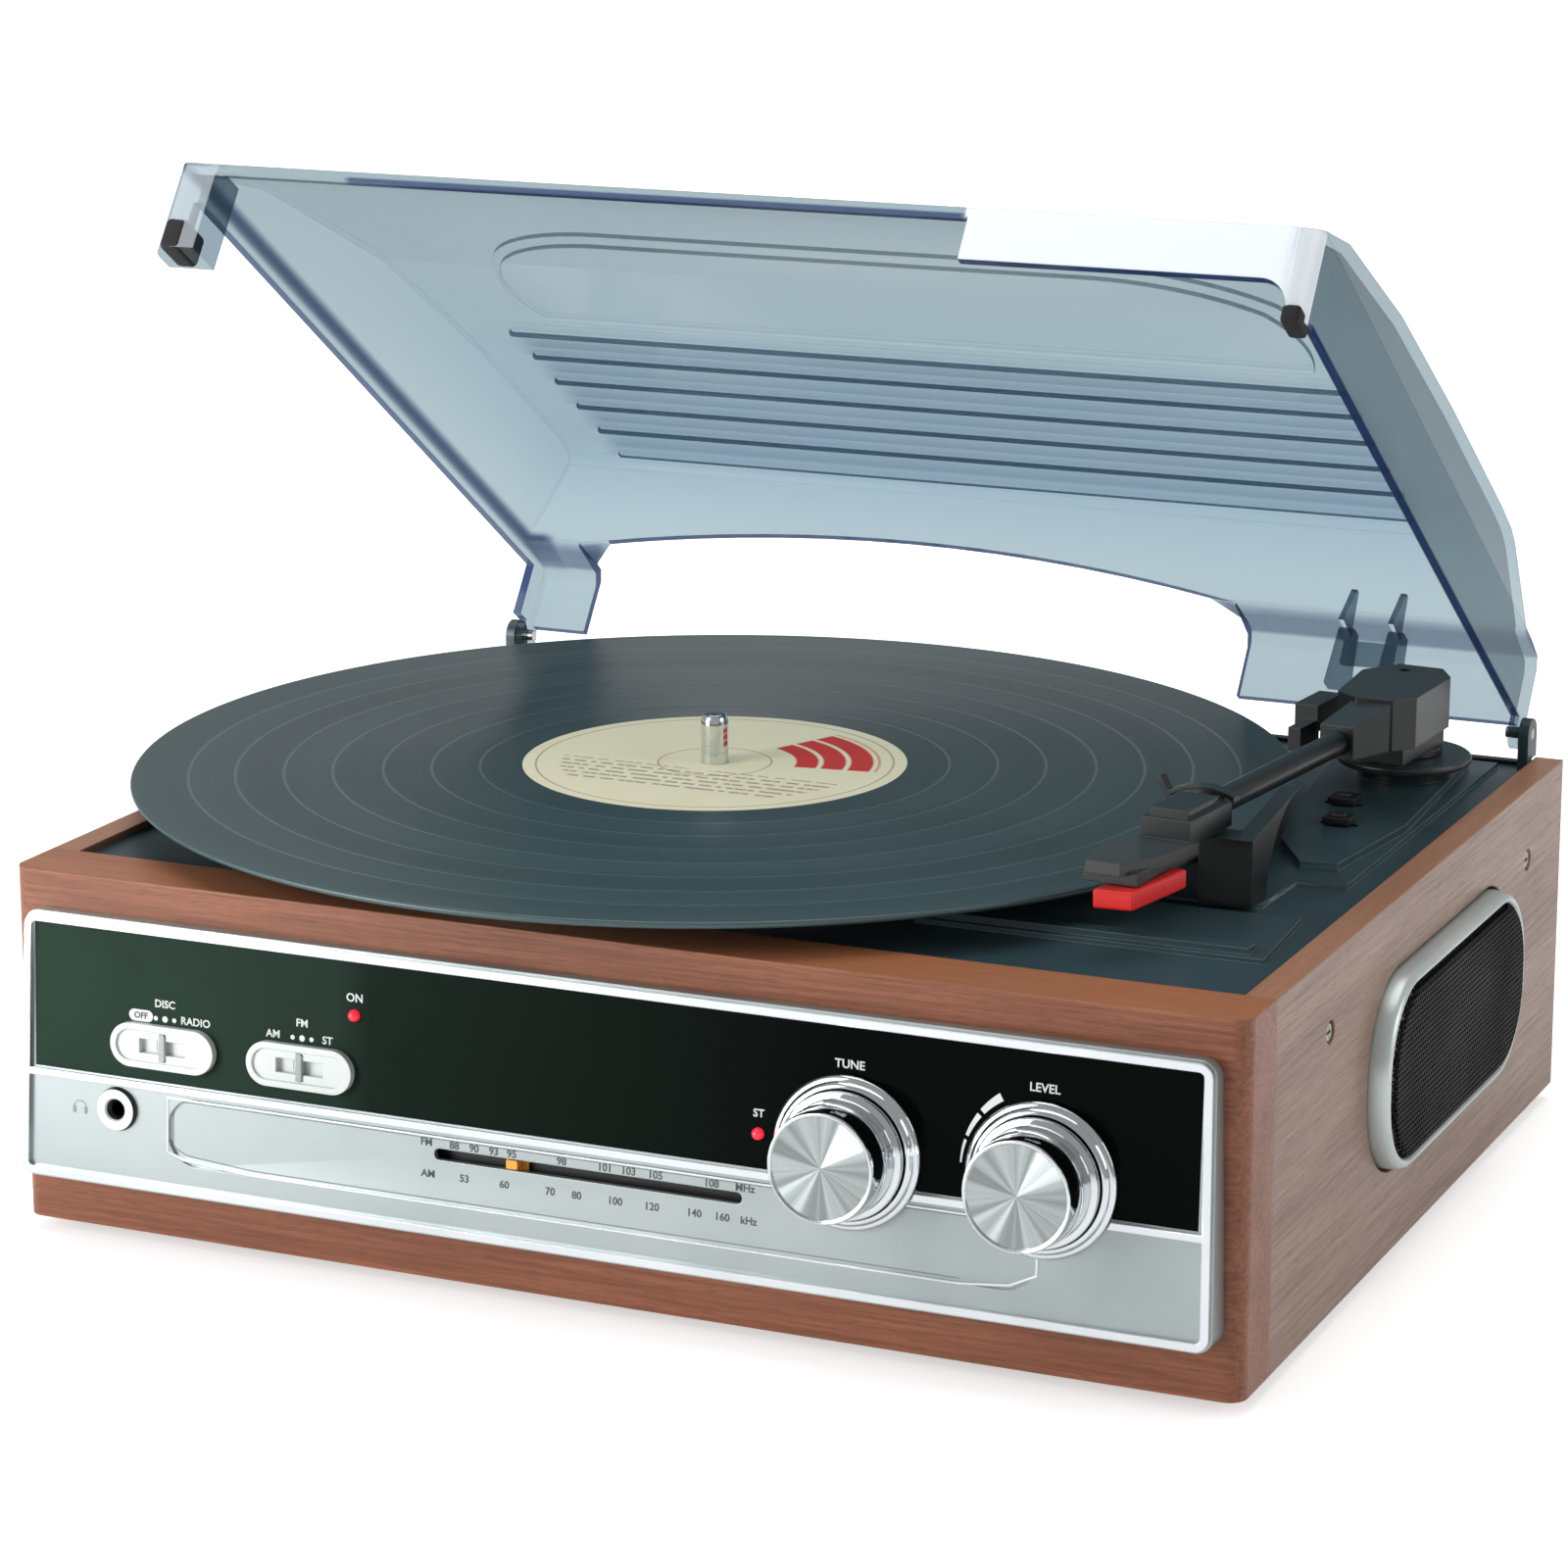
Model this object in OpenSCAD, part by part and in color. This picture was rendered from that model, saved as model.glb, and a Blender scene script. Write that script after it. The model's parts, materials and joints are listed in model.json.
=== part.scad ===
// Table-top stereo music centre: radio fascia, belt-driven record player, open dust lid.
// X runs along the front to the right, Y to the back, Z up; the feet stand on z = 0.

/* [Cabinet] */
// Width across the two side panels
cab_w = 322; // [318:1:350]
// Depth from the front board to the back panel
cab_d = 258.5; // [255:0.5:280]
// Height of the wooden cabinet without its feet
cab_h = 90.6; // [88:0.1:105]
// Thickness of the veneered front board
front_t = 19; // [14:0.5:24]
// Thickness of a side panel
panel_t = 7.5; // [6:0.5:10]
// Thickness of the back panel
back_t = 3; // [2:0.5:5]
// Thickness of the bottom board
board_t = 3; // [2:0.5:5]
// Radius of the two upright front corners
corner_r = 4.5; // [2:0.5:8]
// Height of a rubber foot
foot_h = 4; // [2:0.5:8]
// Radius of a rubber foot
foot_r = 8; // [6:0.5:12]
// Distance from a cabinet side to a foot's axis
foot_inset = 28; // [24:1:45]
// Edge of the square glue blocks in the cabinet's lower corners
block_size = 18; // [14:1:24]

/* [Top deck] */
// Depth of the deck below the cabinet's rim
deck_drop = 2; // [1:0.5:4]
// Wall of the deck moulding
deck_t = 2.5; // [2:0.5:3.5]
// Depth of the platter well below the deck
well_depth = 10; // [9:0.5:14]
// Height of the raised field that carries the tonearm
field_rise = 1.2; // [0.6:0.2:1.8]
// Height of the octagonal pad above the deck
pad_rise = 3.2; // [2.4:0.2:4]

/* [Record player] */
// Platter axis to the right of the cabinet's middle
platter_x = -30.5; // [-34:0.5:-28]
// Platter axis behind the cabinet's middle
platter_y = 2.4; // [-2:0.1:4]
// Radius of the platter
platter_r = 98; // [90:1:99]
// Radius of the running track for the belt under the platter
track_r = 62; // [56:1:66]
// Height of the record's grooves above the cabinet's rim
record_rise = 9.4; // [9:0.1:12]
// Diameter of the long-playing record
record_d = 301.6; // [296:0.2:302]
// Thickness of the record at its rim and label
record_t = 1.8; // [1.6:0.1:2.4]
// Diameter of the record label
label_d = 100; // [80:1:104]
// Diameter of the centre spindle
spindle_d = 7.1; // [6.9:0.05:7.2]
// Height of the spindle above the record
spindle_rise = 13; // [8:0.5:15]
// Thickness of the slip mat
mat_t = 2; // [1:0.5:3]
// Radius of the belt groove of the motor pulley
pulley_r = 5; // [4:0.5:7]
// Distance from the platter axis to the motor axis
motor_reach = 80; // [78:1:84]
// Radius of the motor can
motor_r = 16; // [12:0.5:18]
// Height of the motor can
motor_h = 24; // [18:1:28]

/* [Tonearm] */
// Swing axis to the right of the cabinet's middle
arm_x = 128; // [126:0.5:130]
// Swing axis behind the cabinet's middle
arm_y = 92; // [88:0.5:95]
// Height of the lift pin above the cabinet's rim
arm_rise = 19; // [19:0.1:20]
// Turn of the resting arm towards the record
arm_turn = 5.2; // [4:0.1:7]
// Slope of the resting arm, head up
arm_slope = 0.9; // [0.9:0.1:1.6]
// Diameter of the arm tube
tube_d = 6.4; // [5:0.2:7]
// Length from the lift pin to the nose of the headshell
arm_len = 183; // [180:1:186]
// Radius of the round arm base
base_r = 17.75; // [15:0.25:19]

/* [Fascia] */
// Wood that shows at each side of the fascia
fascia_margin = 4.5; // [3:0.5:8]
// Height of the fascia above the cabinet's underside
fascia_low = 14; // [12:0.5:16]
// Height of the fascia along its face
fascia_h = 67.8; // [66:0.2:70]
// How far the lower edge stands out of the front board
fascia_out = 8; // [7:0.2:10]
// Lean of the fascia, top backwards
fascia_lean = 3.4; // [2:0.1:3.6]
// Corner radius of the fascia
fascia_r = 4; // [2:0.5:6]
// Thickness of the fascia moulding's face
fascia_t = 2.4; // [2:0.2:3]
// Lower edge of the black panel, up the fascia
black_low = 28.3; // [27:0.1:30]
// Upper edge of the black panel, up the fascia
black_top = 65; // [62:0.1:65.4]
// Height of the knob axes up the fascia
knob_up = 35.3; // [34:0.1:37]
// Tuning knob to the left of the fascia's right edge
tuning_in = 89.7; // [86:0.1:94]
// Volume knob to the left of the fascia's right edge
volume_in = 41.9; // [38:0.1:44]
// Outer diameter of a knob bezel
bezel_d = 37; // [34:0.5:40]
// Diameter of a knob at its foot
knob_d = 30.6; // [27:0.2:32]
// Diameter of a knob's brushed face
knob_face_d = 25.4; // [20:0.2:26]
// Reach of a knob in front of the fascia
knob_reach = 16.5; // [12:0.5:20]
// Height of the dial slot up the fascia
slot_up = 20.2; // [19:0.1:21]
// Left end of the dial slot
slot_left = -41; // [-44:1:-38]
// Right end of the dial slot
slot_right = 40; // [36:1:42]
// Height of the dial slot
slot_h = 2.8; // [2.2:0.1:3.2]
// Place of the dial pointer along the slot
pointer_x = -20.2; // [-22:0.2:-18]
// Length of a slide switch window
switch_w = 29; // [26:1:32]
// Height of a slide switch window
switch_h = 11; // [9:0.5:12]
// Travel of a switch lever each side of its middle
switch_travel = 4; // [3:0.5:5]

/* [Speakers] */
// Length of a speaker bezel
grille_len = 129; // [120:1:132]
// Height of a speaker bezel
grille_h = 55; // [50:1:58]
// Corner radius of a speaker bezel
grille_r = 25; // [20:1:25]
// Middle of a speaker bezel behind the cabinet's middle
grille_y = 21; // [16:1:26]
// Middle of a speaker bezel above the cabinet's underside
grille_up = 47; // [45:0.5:49]
// How far a speaker grille stands out of the side
grille_out = 7.5; // [6:0.5:9]
// How far the bezel's wall leans in over its height
grille_in = 7; // [5:0.5:9]
// Rows of slots in each grille
grille_rows = 9; // [5:1:11]

/* [Lid] */
// Gap between the lid and a side panel
lid_gap = 3.5; // [3.5:0.5:5]
// Wall of the lid
lid_t = 2.5; // [2:0.1:3]
// Angle at which the lid stands open
lid_open = 35.4; // [30:0.2:42]
// Height of the hinge axis above the cabinet's rim
hinge_rise = 7; // [6.6:0.1:8]
// Distance from the hinge axis to the back face of the cabinet
hinge_in = 3.25; // [3:0.05:4]
// Radius of a hinge pin
hinge_pin_r = 1.5; // [1.2:0.1:2]
// Reach of the lid in front of its hinge axis
lid_reach = 244; // [238:1:244]
// Height of the crease where the lid's sides lean in
crease_h = 24; // [22:0.5:26]
// How far the sides have leaned in at the top of the lid
side_lean = 9; // [6:0.5:12]
// Rounded rib lines across the back half of the lid
lid_ribs = 6; // [3:1:7]

/* [Fits] */
// Radial clearance of a shaft that turns in a bore
run_fit = 0.05; // [0.03:0.01:0.08]
// Gap between pieces that pass each other
pass_gap = 0.3; // [0.25:0.05:0.4]
// Gap round pieces that are set into an opening
set_gap = 0.2; // [0.1:0.05:0.3]

/* [Hidden] */
$fn = 96;

eps = 0.01;
rim_z = foot_h + cab_h;
front_y = -cab_d / 2;
back_y = cab_d / 2;
inner_front = front_y + front_t;
inner_back = back_y - back_t;
inner_half = cab_w / 2 - panel_t;
deck_z = rim_z - deck_drop;

// Record player heights
record_z = rim_z + record_rise;
mat_z = record_z - record_t - mat_t;
platter_under = mat_z - 3;
well_z = deck_z - well_depth;
well_r = platter_r + 4;
hub_r = 8;
hub_low = well_z + 2.6;
track_low = well_z + 4;
skirt_low = well_z + 6;
belt_t = 0.8;
belt_w = 4;
belt_z = track_low + 1;
motor_angle = 135;
motor_x = platter_x + motor_reach * cos(motor_angle);
motor_y = platter_y + motor_reach * sin(motor_angle);
motor_shaft_r = 1;
record_hole_r = spindle_d / 2 + 0.07;

// Tonearm heights, counted from the lift pin
arm_z = rim_z + arm_rise;
pad_z = deck_z + pad_rise;
base_top = rim_z + 7.5;
arm_shaft_r = 3;
turret_low = base_top + pass_gap - arm_z;
lift_pin_r = 1.5;
lug_r = 5;
head_back = -arm_len + 58;
tube_back = -38;
tube_seat = 6;

// Fascia places
fascia_w = cab_w - 2 * fascia_margin;
tuning_x = fascia_w / 2 - tuning_in;
volume_x = fascia_w / 2 - volume_in;
fascia_z = foot_h + fascia_low;
fascia_top_w = fascia_w - 2.6;
bezel_h = 3.2;
window_lap = 8;
board_in = 14;

// Lid profile: reach from the hinge axis, height over it
lid_top = [[30, 52.5], [90, 51.5], [150, 47.5], [210, 36], [240, 24]];
lid_low = 3;
wall_back = 15;
strip_back = -3;
lid_half = inner_half - lid_gap;
hinge_y = back_y - hinge_in;
hinge_z = rim_z + hinge_rise;

// ---------- shared shapes ----------

// A rectangle with round corners, centred
module rounded_rect(w, h, r) {
    square([w - 2 * r, h], center = true);
    square([w, h - 2 * r], center = true);
    for (x = [-1, 1], y = [-1, 1])
        translate([x * (w / 2 - r), y * (h / 2 - r)]) circle(r);
}

// A flat slab standing on the fascia's face, x along the fascia and y up it
module face_slab(x, up, depth_in, height_out) {
    on_fascia(x, up)
        rotate([90, 0, 0])
            translate([0, 0, -depth_in])
                linear_extrude(depth_in + height_out) children();
}

// The frame of the leaning fascia: x right, z up the face, -y out of it
module on_fascia(x, up) {
    translate([x, front_y - fascia_out, fascia_z])
        rotate([-fascia_lean, 0, 0])
            translate([0, 0, up]) children();
}

// Lays a flat outline (x back, y up) on the right side of the cabinet
module on_side(x) {
    translate([x, grille_y, foot_h + grille_up])
        rotate([90, 0, 90]) children();
}

module screw(head_r, shank_r, length) {
    cylinder(r = shank_r, h = length);
    difference() {
        translate([0, 0, -1.6]) cylinder(r1 = head_r * 0.8, r2 = head_r, h = 1.6);
        for (a = [0, 90])
            rotate(a) translate([-head_r * 0.6, -0.35, -1.7]) cube([head_r * 1.2, 0.7, 0.9]);
    }
}

// ---------- cabinet ----------

window_half = fascia_w / 2 - window_lap;
window_low = fascia_z + window_lap;
window_high = fascia_z + fascia_h - window_lap;

module front_plan() {
    translate([-cab_w / 2 + corner_r, 0]) square([cab_w - 2 * corner_r, front_t]);
    translate([-cab_w / 2, corner_r]) square([cab_w, front_t - corner_r]);
    for (x = [-1, 1])
        translate([x * (cab_w / 2 - corner_r), corner_r]) circle(corner_r);
}

module front_frame() {
    color("sienna")
        difference() {
            translate([0, front_y, foot_h]) linear_extrude(cab_h) front_plan();
            translate([-window_half, front_y - 1, window_low])
                cube([2 * window_half, front_t + 2, window_high - window_low]);
        }
}

side_screw_places = [[-70, 71.2], [97, 70.9]];
cup_r = 3;
cup_depth = 2;
side_shank_r = 1.5;

module side_hole(r, from_x, to_x) {
    for (p = side_screw_places)
        translate([from_x, p.x, foot_h + p.y])
            rotate([0, 90, 0]) cylinder(r = r, h = to_x - from_x);
}

block_ys = [inner_front, inner_back - block_size];

module bottom_screw_places() {
    for (x = [-1, 1], y = block_ys)
        translate([x * (inner_half - block_size / 2), y + block_size / 2, foot_h]) children();
}

module side_panel() {
    difference() {
        union() {
            translate([inner_half, inner_front, foot_h])
                cube([panel_t, cab_d - front_t, cab_h]);
            for (y = block_ys)
                translate([inner_half - block_size, y, foot_h + board_t])
                    cube([block_size, block_size, block_size]);
        }
        on_side(inner_half - 1)
            linear_extrude(panel_t + 2)
                rounded_rect(grille_len + 2 * set_gap, grille_h + 2 * set_gap, grille_r + set_gap);
        side_hole(side_shank_r + run_fit, inner_half - 1, cab_w / 2 + 1);
        side_hole(cup_r, cab_w / 2 - cup_depth, cab_w / 2 + 1);
        bottom_screw_places()
            translate([0, 0, board_t - 1]) cylinder(r = 1.5, h = 14);
    }
}

module side_panel_right() { color("peru") side_panel(); }
module side_panel_left() { color("peru") mirror([1, 0, 0]) side_panel(); }

vent_slots = 9;
grommet_x = 96;
grommet_z = 26;
grommet_r = 5;

module back_panel() {
    color("dimgray")
        difference() {
            translate([-inner_half + set_gap, inner_back, foot_h])
                cube([2 * (inner_half - set_gap), back_t, cab_h - 1]);
            for (i = [0 : vent_slots - 1])
                translate([-110 + i * 9, inner_back - 1, foot_h + 26])
                    cube([3, back_t + 2, 34]);
            translate([grommet_x, inner_back - 1, foot_h + grommet_z])
                rotate([-90, 0, 0]) cylinder(r = grommet_r, h = back_t + 2);
        }
}

module cord_grommet() {
    color("black")
        translate([grommet_x, inner_back, foot_h + grommet_z])
            rotate([-90, 0, 0])
                difference() {
                    union() {
                        translate([0, 0, -2]) cylinder(r = grommet_r + 2, h = 2);
                        cylinder(r = grommet_r, h = back_t);
                        translate([0, 0, back_t]) cylinder(r1 = grommet_r + 2, r2 = grommet_r + 1, h = 2);
                    }
                    translate([0, 0, -3]) cylinder(r = 3.3, h = back_t + 6);
                }
}

board_vents = 11;

module bottom_board() {
    color("saddlebrown")
        difference() {
            translate([-inner_half + set_gap, inner_front + set_gap, foot_h])
                cube([2 * (inner_half - set_gap), inner_back - inner_front - 2 * set_gap, board_t]);
            for (i = [0 : board_vents - 1])
                translate([40 + i * 7, 40, foot_h - 1]) cube([3, 50, board_t + 2]);
            bottom_screw_places()
                translate([0, 0, -1]) cylinder(r = 1.7, h = board_t + 2);
        }
}

module rubber_foot() {
    cylinder(r1 = foot_r - 0.8, r2 = foot_r, h = 0.8);
    translate([0, 0, 0.8]) cylinder(r = foot_r, h = foot_h - 0.8);
}

// Four feet near the corners and one under the middle of the bottom board
module rubber_feet() {
    color([0.1, 0.1, 0.1]) {
        for (x = [-1, 1], y = [-1, 1])
            translate([x * (cab_w / 2 - foot_inset), y * (cab_d / 2 - foot_inset), 0]) rubber_foot();
        rubber_foot();
    }
}

module bottom_screws() {
    color("silver") bottom_screw_places() screw(3, 1.5, 12);
}

module side_screws() {
    color("silver")
        for (s = [0, 1])
            mirror([s, 0, 0])
                for (p = side_screw_places)
                    translate([cab_w / 2 - cup_depth, p.x, foot_h + p.y])
                        rotate([0, -90, 0]) screw(2.6, side_shank_r, 10);
}

// ---------- top deck ----------

deck_half = inner_half - set_gap;
lug_w = 14;
lug_h = 26;

module deck_outline(points, rise) {
    translate([0, 0, deck_z - eps]) linear_extrude(rise + eps) polygon(points);
}

// The raised field under the tonearm and its inner pad
arm_field = [
    [100, 122], [145, 122], [145.5, -11], [132.6, -10.5], [132, -35], [116, -37.5], [100, -37.5]];
arm_pad = [
    [104, 112], [139.3, 114.5], [143.9, 43], [139.5, 0.5], [130.1, -0.7], [118.8, 18.5], [112, 50]];
front_field = [[60, -43.4], [144.6, -43.4], [147.5, -79.6], [60, -79.6]];
speed_x = 123;
speed_y = 57;
stop_x = 128;
stop_y = 37;
small_slot_w = 10;
small_slot_h = 3;

module small_slot(x, y) {
    translate([x - small_slot_w / 2, y - small_slot_h / 2, deck_z - deck_t - 1])
        cube([small_slot_w, small_slot_h, deck_t + pad_rise + 2]);
}

module top_deck() {
    color([0.12, 0.16, 0.17])
        difference() {
            union() {
                translate([-deck_half, inner_front + set_gap, deck_z - deck_t])
                    cube([2 * deck_half, inner_back - inner_front - 2 * set_gap, deck_t]);
                translate([platter_x, platter_y, well_z - deck_t])
                    cylinder(r = well_r + deck_t, h = well_depth + deck_t);
                for (s = [0, 1], p = side_screw_places)
                    mirror([s, 0, 0])
                        translate([deck_half - 6, p.x - lug_w / 2, deck_z - lug_h])
                            cube([6, lug_w, lug_h - deck_t + eps]);
                deck_outline(arm_field, field_rise);
                deck_outline(arm_pad, pad_rise);
                deck_outline(front_field, field_rise);
                translate([60, -77.5, deck_z]) cube([83, 4.5, field_rise + 1.6]);
            }
            translate([platter_x, platter_y, well_z]) cylinder(r = well_r, h = well_depth + 20);
            translate([platter_x, platter_y, well_z - deck_t - 1])
                cylinder(r = hub_r - 1, h = deck_t + 2);
            translate([motor_x, motor_y, well_z - deck_t - 1]) cylinder(r = 4, h = deck_t + 2);
            translate([arm_x, arm_y, deck_z - deck_t - 1])
                cylinder(r = arm_shaft_r + 1, h = deck_t + pad_rise + 2);
            for (s = [0, 1])
                mirror([s, 0, 0]) side_hole(side_shank_r, deck_half - 7, deck_half + 1);
            small_slot(speed_x, speed_y);
            small_slot(stop_x, stop_y);
        }
}

// ---------- fascia ----------

module fascia_outline(grow = 0) {
    polygon([
        [-fascia_w / 2 - grow, fascia_r], [-fascia_w / 2 + fascia_r, -grow],
        [fascia_w / 2 - fascia_r, -grow], [fascia_w / 2 + grow, fascia_r],
        [fascia_top_w / 2 + grow, fascia_h - fascia_r],
        [fascia_top_w / 2 - fascia_r, fascia_h + grow],
        [-fascia_top_w / 2 + fascia_r, fascia_h + grow],
        [-fascia_top_w / 2 - grow, fascia_h - fascia_r]]);
    for (x = [-1, 1]) {
        translate([x * (fascia_w / 2 - fascia_r), fascia_r]) circle(fascia_r + grow);
        translate([x * (fascia_top_w / 2 - fascia_r), fascia_h - fascia_r])
            circle(fascia_r + grow);
    }
}

recess_left = -fascia_w / 2 + 42;
recess_right = fascia_w / 2 - 42.5;
recess_low = 8;
recess_high = 25;
recess_depth = 0.8;
recess_r = 8;

module dial_recess() {
    translate([(recess_left + recess_right) / 2, 0])
        rounded_rect(recess_right - recess_left, recess_high - recess_low, recess_r);
}

lamp_r = 1.5;
power_x = -fascia_w / 2 + 94.1;
power_up = 51.8;
stereo_x = tuning_x - 22.6;
stereo_up = 36.7;
socket_x = -fascia_w / 2 + 27.8;
socket_up = 20;
socket_r = 4;
jack_r = 1.8;
function_x = -fascia_w / 2 + 41.4;
band_x = function_x + 38.3;
switch_up = 37.3;
lever_w = 4.4;
window_rim = 1.6;
switch_xs = [function_x, band_x];
knob_xs = [tuning_x, volume_x];
black_t = 1.2;
knob_shaft_r = 3;

module slot_shape(grow) {
    length = slot_right - slot_left + 2 * grow;
    translate([(slot_left + slot_right) / 2, 0])
        rounded_rect(length, slot_h + 2 * grow, slot_h / 2 + grow - eps);
}

// Holes that pass through both the silver moulding and the black panel
module front_holes() {
    for (x = knob_xs)
        translate([x, knob_up]) circle(bezel_d / 2 - 2.5);
    for (x = switch_xs)
        translate([x, switch_up])
            rounded_rect(switch_w - 2 * window_rim, switch_h - 2 * window_rim,
                switch_h / 2 - window_rim - eps);
    translate([power_x, power_up]) circle(lamp_r);
    translate([stereo_x, stereo_up]) circle(lamp_r);
}

module fascia_body() {
    intersection() {
        face_slab(0, 0, 14, 0) fascia_outline();
        translate([-fascia_w, front_y - 30, 0]) cube([2 * fascia_w, 30, rim_z]);
    }
}

module black_outline(grow = 0) {
    translate([0, (black_low + black_top) / 2])
        square([fascia_top_w - 6 + 2 * grow, black_top - black_low + 2 * grow], center = true);
}

module fascia() {
    color("silver")
        difference() {
            fascia_body();
            // hollow behind the face, open to the back
            face_slab(0, 0, 20, -fascia_t)
                translate([0, fascia_h / 2])
                    rounded_rect(2 * window_half, fascia_h - 2 * window_lap, 2);
            face_slab(0, 0, black_t, 1) black_outline();
            face_slab(0, 0, recess_depth, 1) translate([0, (recess_low + recess_high) / 2]) dial_recess();
            face_slab(0, 0, 20, 1) front_holes();
            face_slab(0, slot_up, 20, 1) slot_shape(0);
            face_slab(socket_x, socket_up, 20, 1) circle(socket_r);
        }
}

module black_panel() {
    color([0.02, 0.02, 0.025])
        difference() {
            face_slab(0, 0, black_t, 0) black_outline(-set_gap / 2);
            face_slab(0, 0, 2, 1) front_holes();
        }
}

bead_w = 2;
bead_h = 1.2;

// Bright bead round the fascia and the bar under the black panel
module fascia_bead() {
    color("gainsboro") {
        difference() {
            face_slab(0, 0, 0, bead_h) fascia_outline(-0.6);
            face_slab(0, 0, 1, bead_h + 1) fascia_outline(-0.6 - bead_w);
        }
        difference() {
            face_slab(0, 0, 0, bead_h)
                translate([-fascia_w / 2 + 0.6 + bead_w - 0.4, black_low - 2.2])
                    square([fascia_w - 2 * (0.6 + bead_w) + 0.8, 1.8]);
            face_slab(0, 0, 1, bead_h + 1)
                for (x = knob_xs) translate([x, knob_up]) circle(bezel_d / 2 + set_gap);
        }
    }
}

// A stepped ring round a knob, turned from a profile
module knob_bezel() {
    rotate([90, 0, 0])
        difference() {
            rotate_extrude()
                polygon([
                    [knob_d / 2 + pass_gap, 0], [bezel_d / 2, 0], [bezel_d / 2, 1],
                    [bezel_d / 2 - 0.8, 2.2], [bezel_d / 2 - 1.6, 2.2],
                    [bezel_d / 2 - 2, bezel_h], [knob_d / 2 + pass_gap, bezel_h]]);
        }
}

module tuning_bezel() { color("white") on_fascia(tuning_x, knob_up) knob_bezel(); }
module volume_bezel() { color("white") on_fascia(volume_x, knob_up) knob_bezel(); }

// A turned knob with a stepped skirt and a brushed face, on its shaft
module knob() {
    rotate([90, 0, 0])
        difference() {
            rotate_extrude()
                polygon([
                    [0, 0.6], [knob_d / 2, 0.6], [knob_d / 2, bezel_h + 1.4],
                    [knob_d / 2 - 0.6, bezel_h + 2], [knob_d / 2 - 1.6, bezel_h + 2.2],
                    [knob_d / 2 - 1.8, knob_reach - 3], [knob_d / 2 - 2.2, knob_reach - 1.2],
                    [knob_face_d / 2 + 0.2, knob_reach], [knob_face_d / 2 - 0.6, knob_reach - 0.5],
                    [0, knob_reach - 0.5]]);
            translate([0, 0, -1]) cylinder(r = knob_shaft_r, h = 9);
        }
}

module knob_shaft(length) {
    rotate([-90, 0, 0])
        translate([0, 0, -8]) cylinder(r = knob_shaft_r, h = 8 + length);
}

capacitor_in = board_in + 1.6;

module tuning_knob() {
    color("silver") on_fascia(tuning_x, knob_up) {
        knob();
        knob_shaft(capacitor_in + 6);
    }
}

module volume_knob() {
    color("silver") on_fascia(volume_x, knob_up) {
        knob();
        knob_shaft(capacitor_in + 6);
    }
}

drum_r = 14;
drum_in = 5;
drum_t = 5;

module dial_drum() {
    color("ivory")
        on_fascia(tuning_x, knob_up)
            rotate([-90, 0, 0])
                translate([0, 0, drum_in])
                    difference() {
                        rotate_extrude()
                            polygon([
                                [knob_shaft_r, 0], [drum_r, 0], [drum_r, 1.2], [drum_r - 1.2, 2.5],
                                [drum_r, 3.8], [drum_r, drum_t], [knob_shaft_r, drum_t]]);
                        for (a = [0 : 120 : 240])
                            rotate(a) translate([8, 0, -1]) cylinder(r = 2.4, h = drum_t + 2);
                    }
}

backplate_in = fascia_t + 2.4;

module dial_backplate() {
    color("black")
        difference() {
            face_slab(0, slot_up, backplate_in + 1, -backplate_in)
                translate([(slot_left + slot_right) / 2 - 4, 0])
                    square([slot_right - slot_left + 12, 9], center = true);
            face_slab(0, slot_up, backplate_in + 1.4, -backplate_in - 0.6)
                slot_shape(-0.4);
        }
}

pointer_w = 3;

module dial_pointer() {
    color("orange")
        face_slab(pointer_x, slot_up, fascia_t + 1.6, -fascia_t + 1.6)
            rounded_rect(pointer_w, slot_h - 2 * pass_gap, 0.4);
    color("orange")
        face_slab(pointer_x, slot_up, backplate_in - pass_gap, -fascia_t - 1.6 + eps)
            square([pointer_w + 3, 6], center = true);
}

module switch_windows() {
    color("gainsboro")
        for (x = switch_xs)
            face_slab(x, switch_up, 1, 1.4)
                difference() {
                    rounded_rect(switch_w - 2 * window_rim - 2 * eps, switch_h - 2 * window_rim - 2 * eps,
                        switch_h / 2 - window_rim - 2 * eps);
                    square([lever_w + 2 * (switch_travel + pass_gap), 3.6], center = true);
                }
    color("gainsboro")
        for (x = switch_xs)
            face_slab(x, switch_up, 0, 2)
                difference() {
                    rounded_rect(switch_w, switch_h, switch_h / 2 - eps);
                    rounded_rect(switch_w - 2 * window_rim - 4 * eps,
                        switch_h - 2 * window_rim - 4 * eps, switch_h / 2 - window_rim - 3 * eps);
                }
}

module switch_lever(x) {
    color("lightgray") {
        face_slab(x, switch_up, board_in - 3, 4)
            square([lever_w, 2.8], center = true);
        face_slab(x, switch_up, -2.4, 4.6)
            square([lever_w, switch_h - 3.4], center = true);
    }
}

module function_lever() { switch_lever(function_x); }
module band_lever() { switch_lever(band_x); }

module lamp(x, up) {
    on_fascia(x, up)
        rotate([90, 0, 0]) {
            translate([0, 0, -6]) cylinder(r = lamp_r - run_fit, h = 6.4);
            translate([0, 0, 0.4])
                intersection() {
                    sphere(lamp_r - run_fit);
                    translate([0, 0, 2]) cube(4, center = true);
                }
        }
}

module power_lamp() { color("red") lamp(power_x, power_up); }
module stereo_lamp() { color("red") lamp(stereo_x, stereo_up); }

module headphone_socket() {
    color("silver")
        on_fascia(socket_x, socket_up)
            rotate([90, 0, 0])
                difference() {
                    union() {
                        translate([0, 0, -board_in]) cylinder(r = socket_r - run_fit, h = board_in + 0.4);
                        cylinder(r1 = socket_r + 1.6, r2 = socket_r + 1.2, h = 1.4);
                    }
                    translate([0, 0, -board_in + 2]) cylinder(r = jack_r, h = board_in + 3);
                    cylinder(r1 = jack_r, r2 = jack_r + 1.2, h = 1.41);
                }
}

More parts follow.
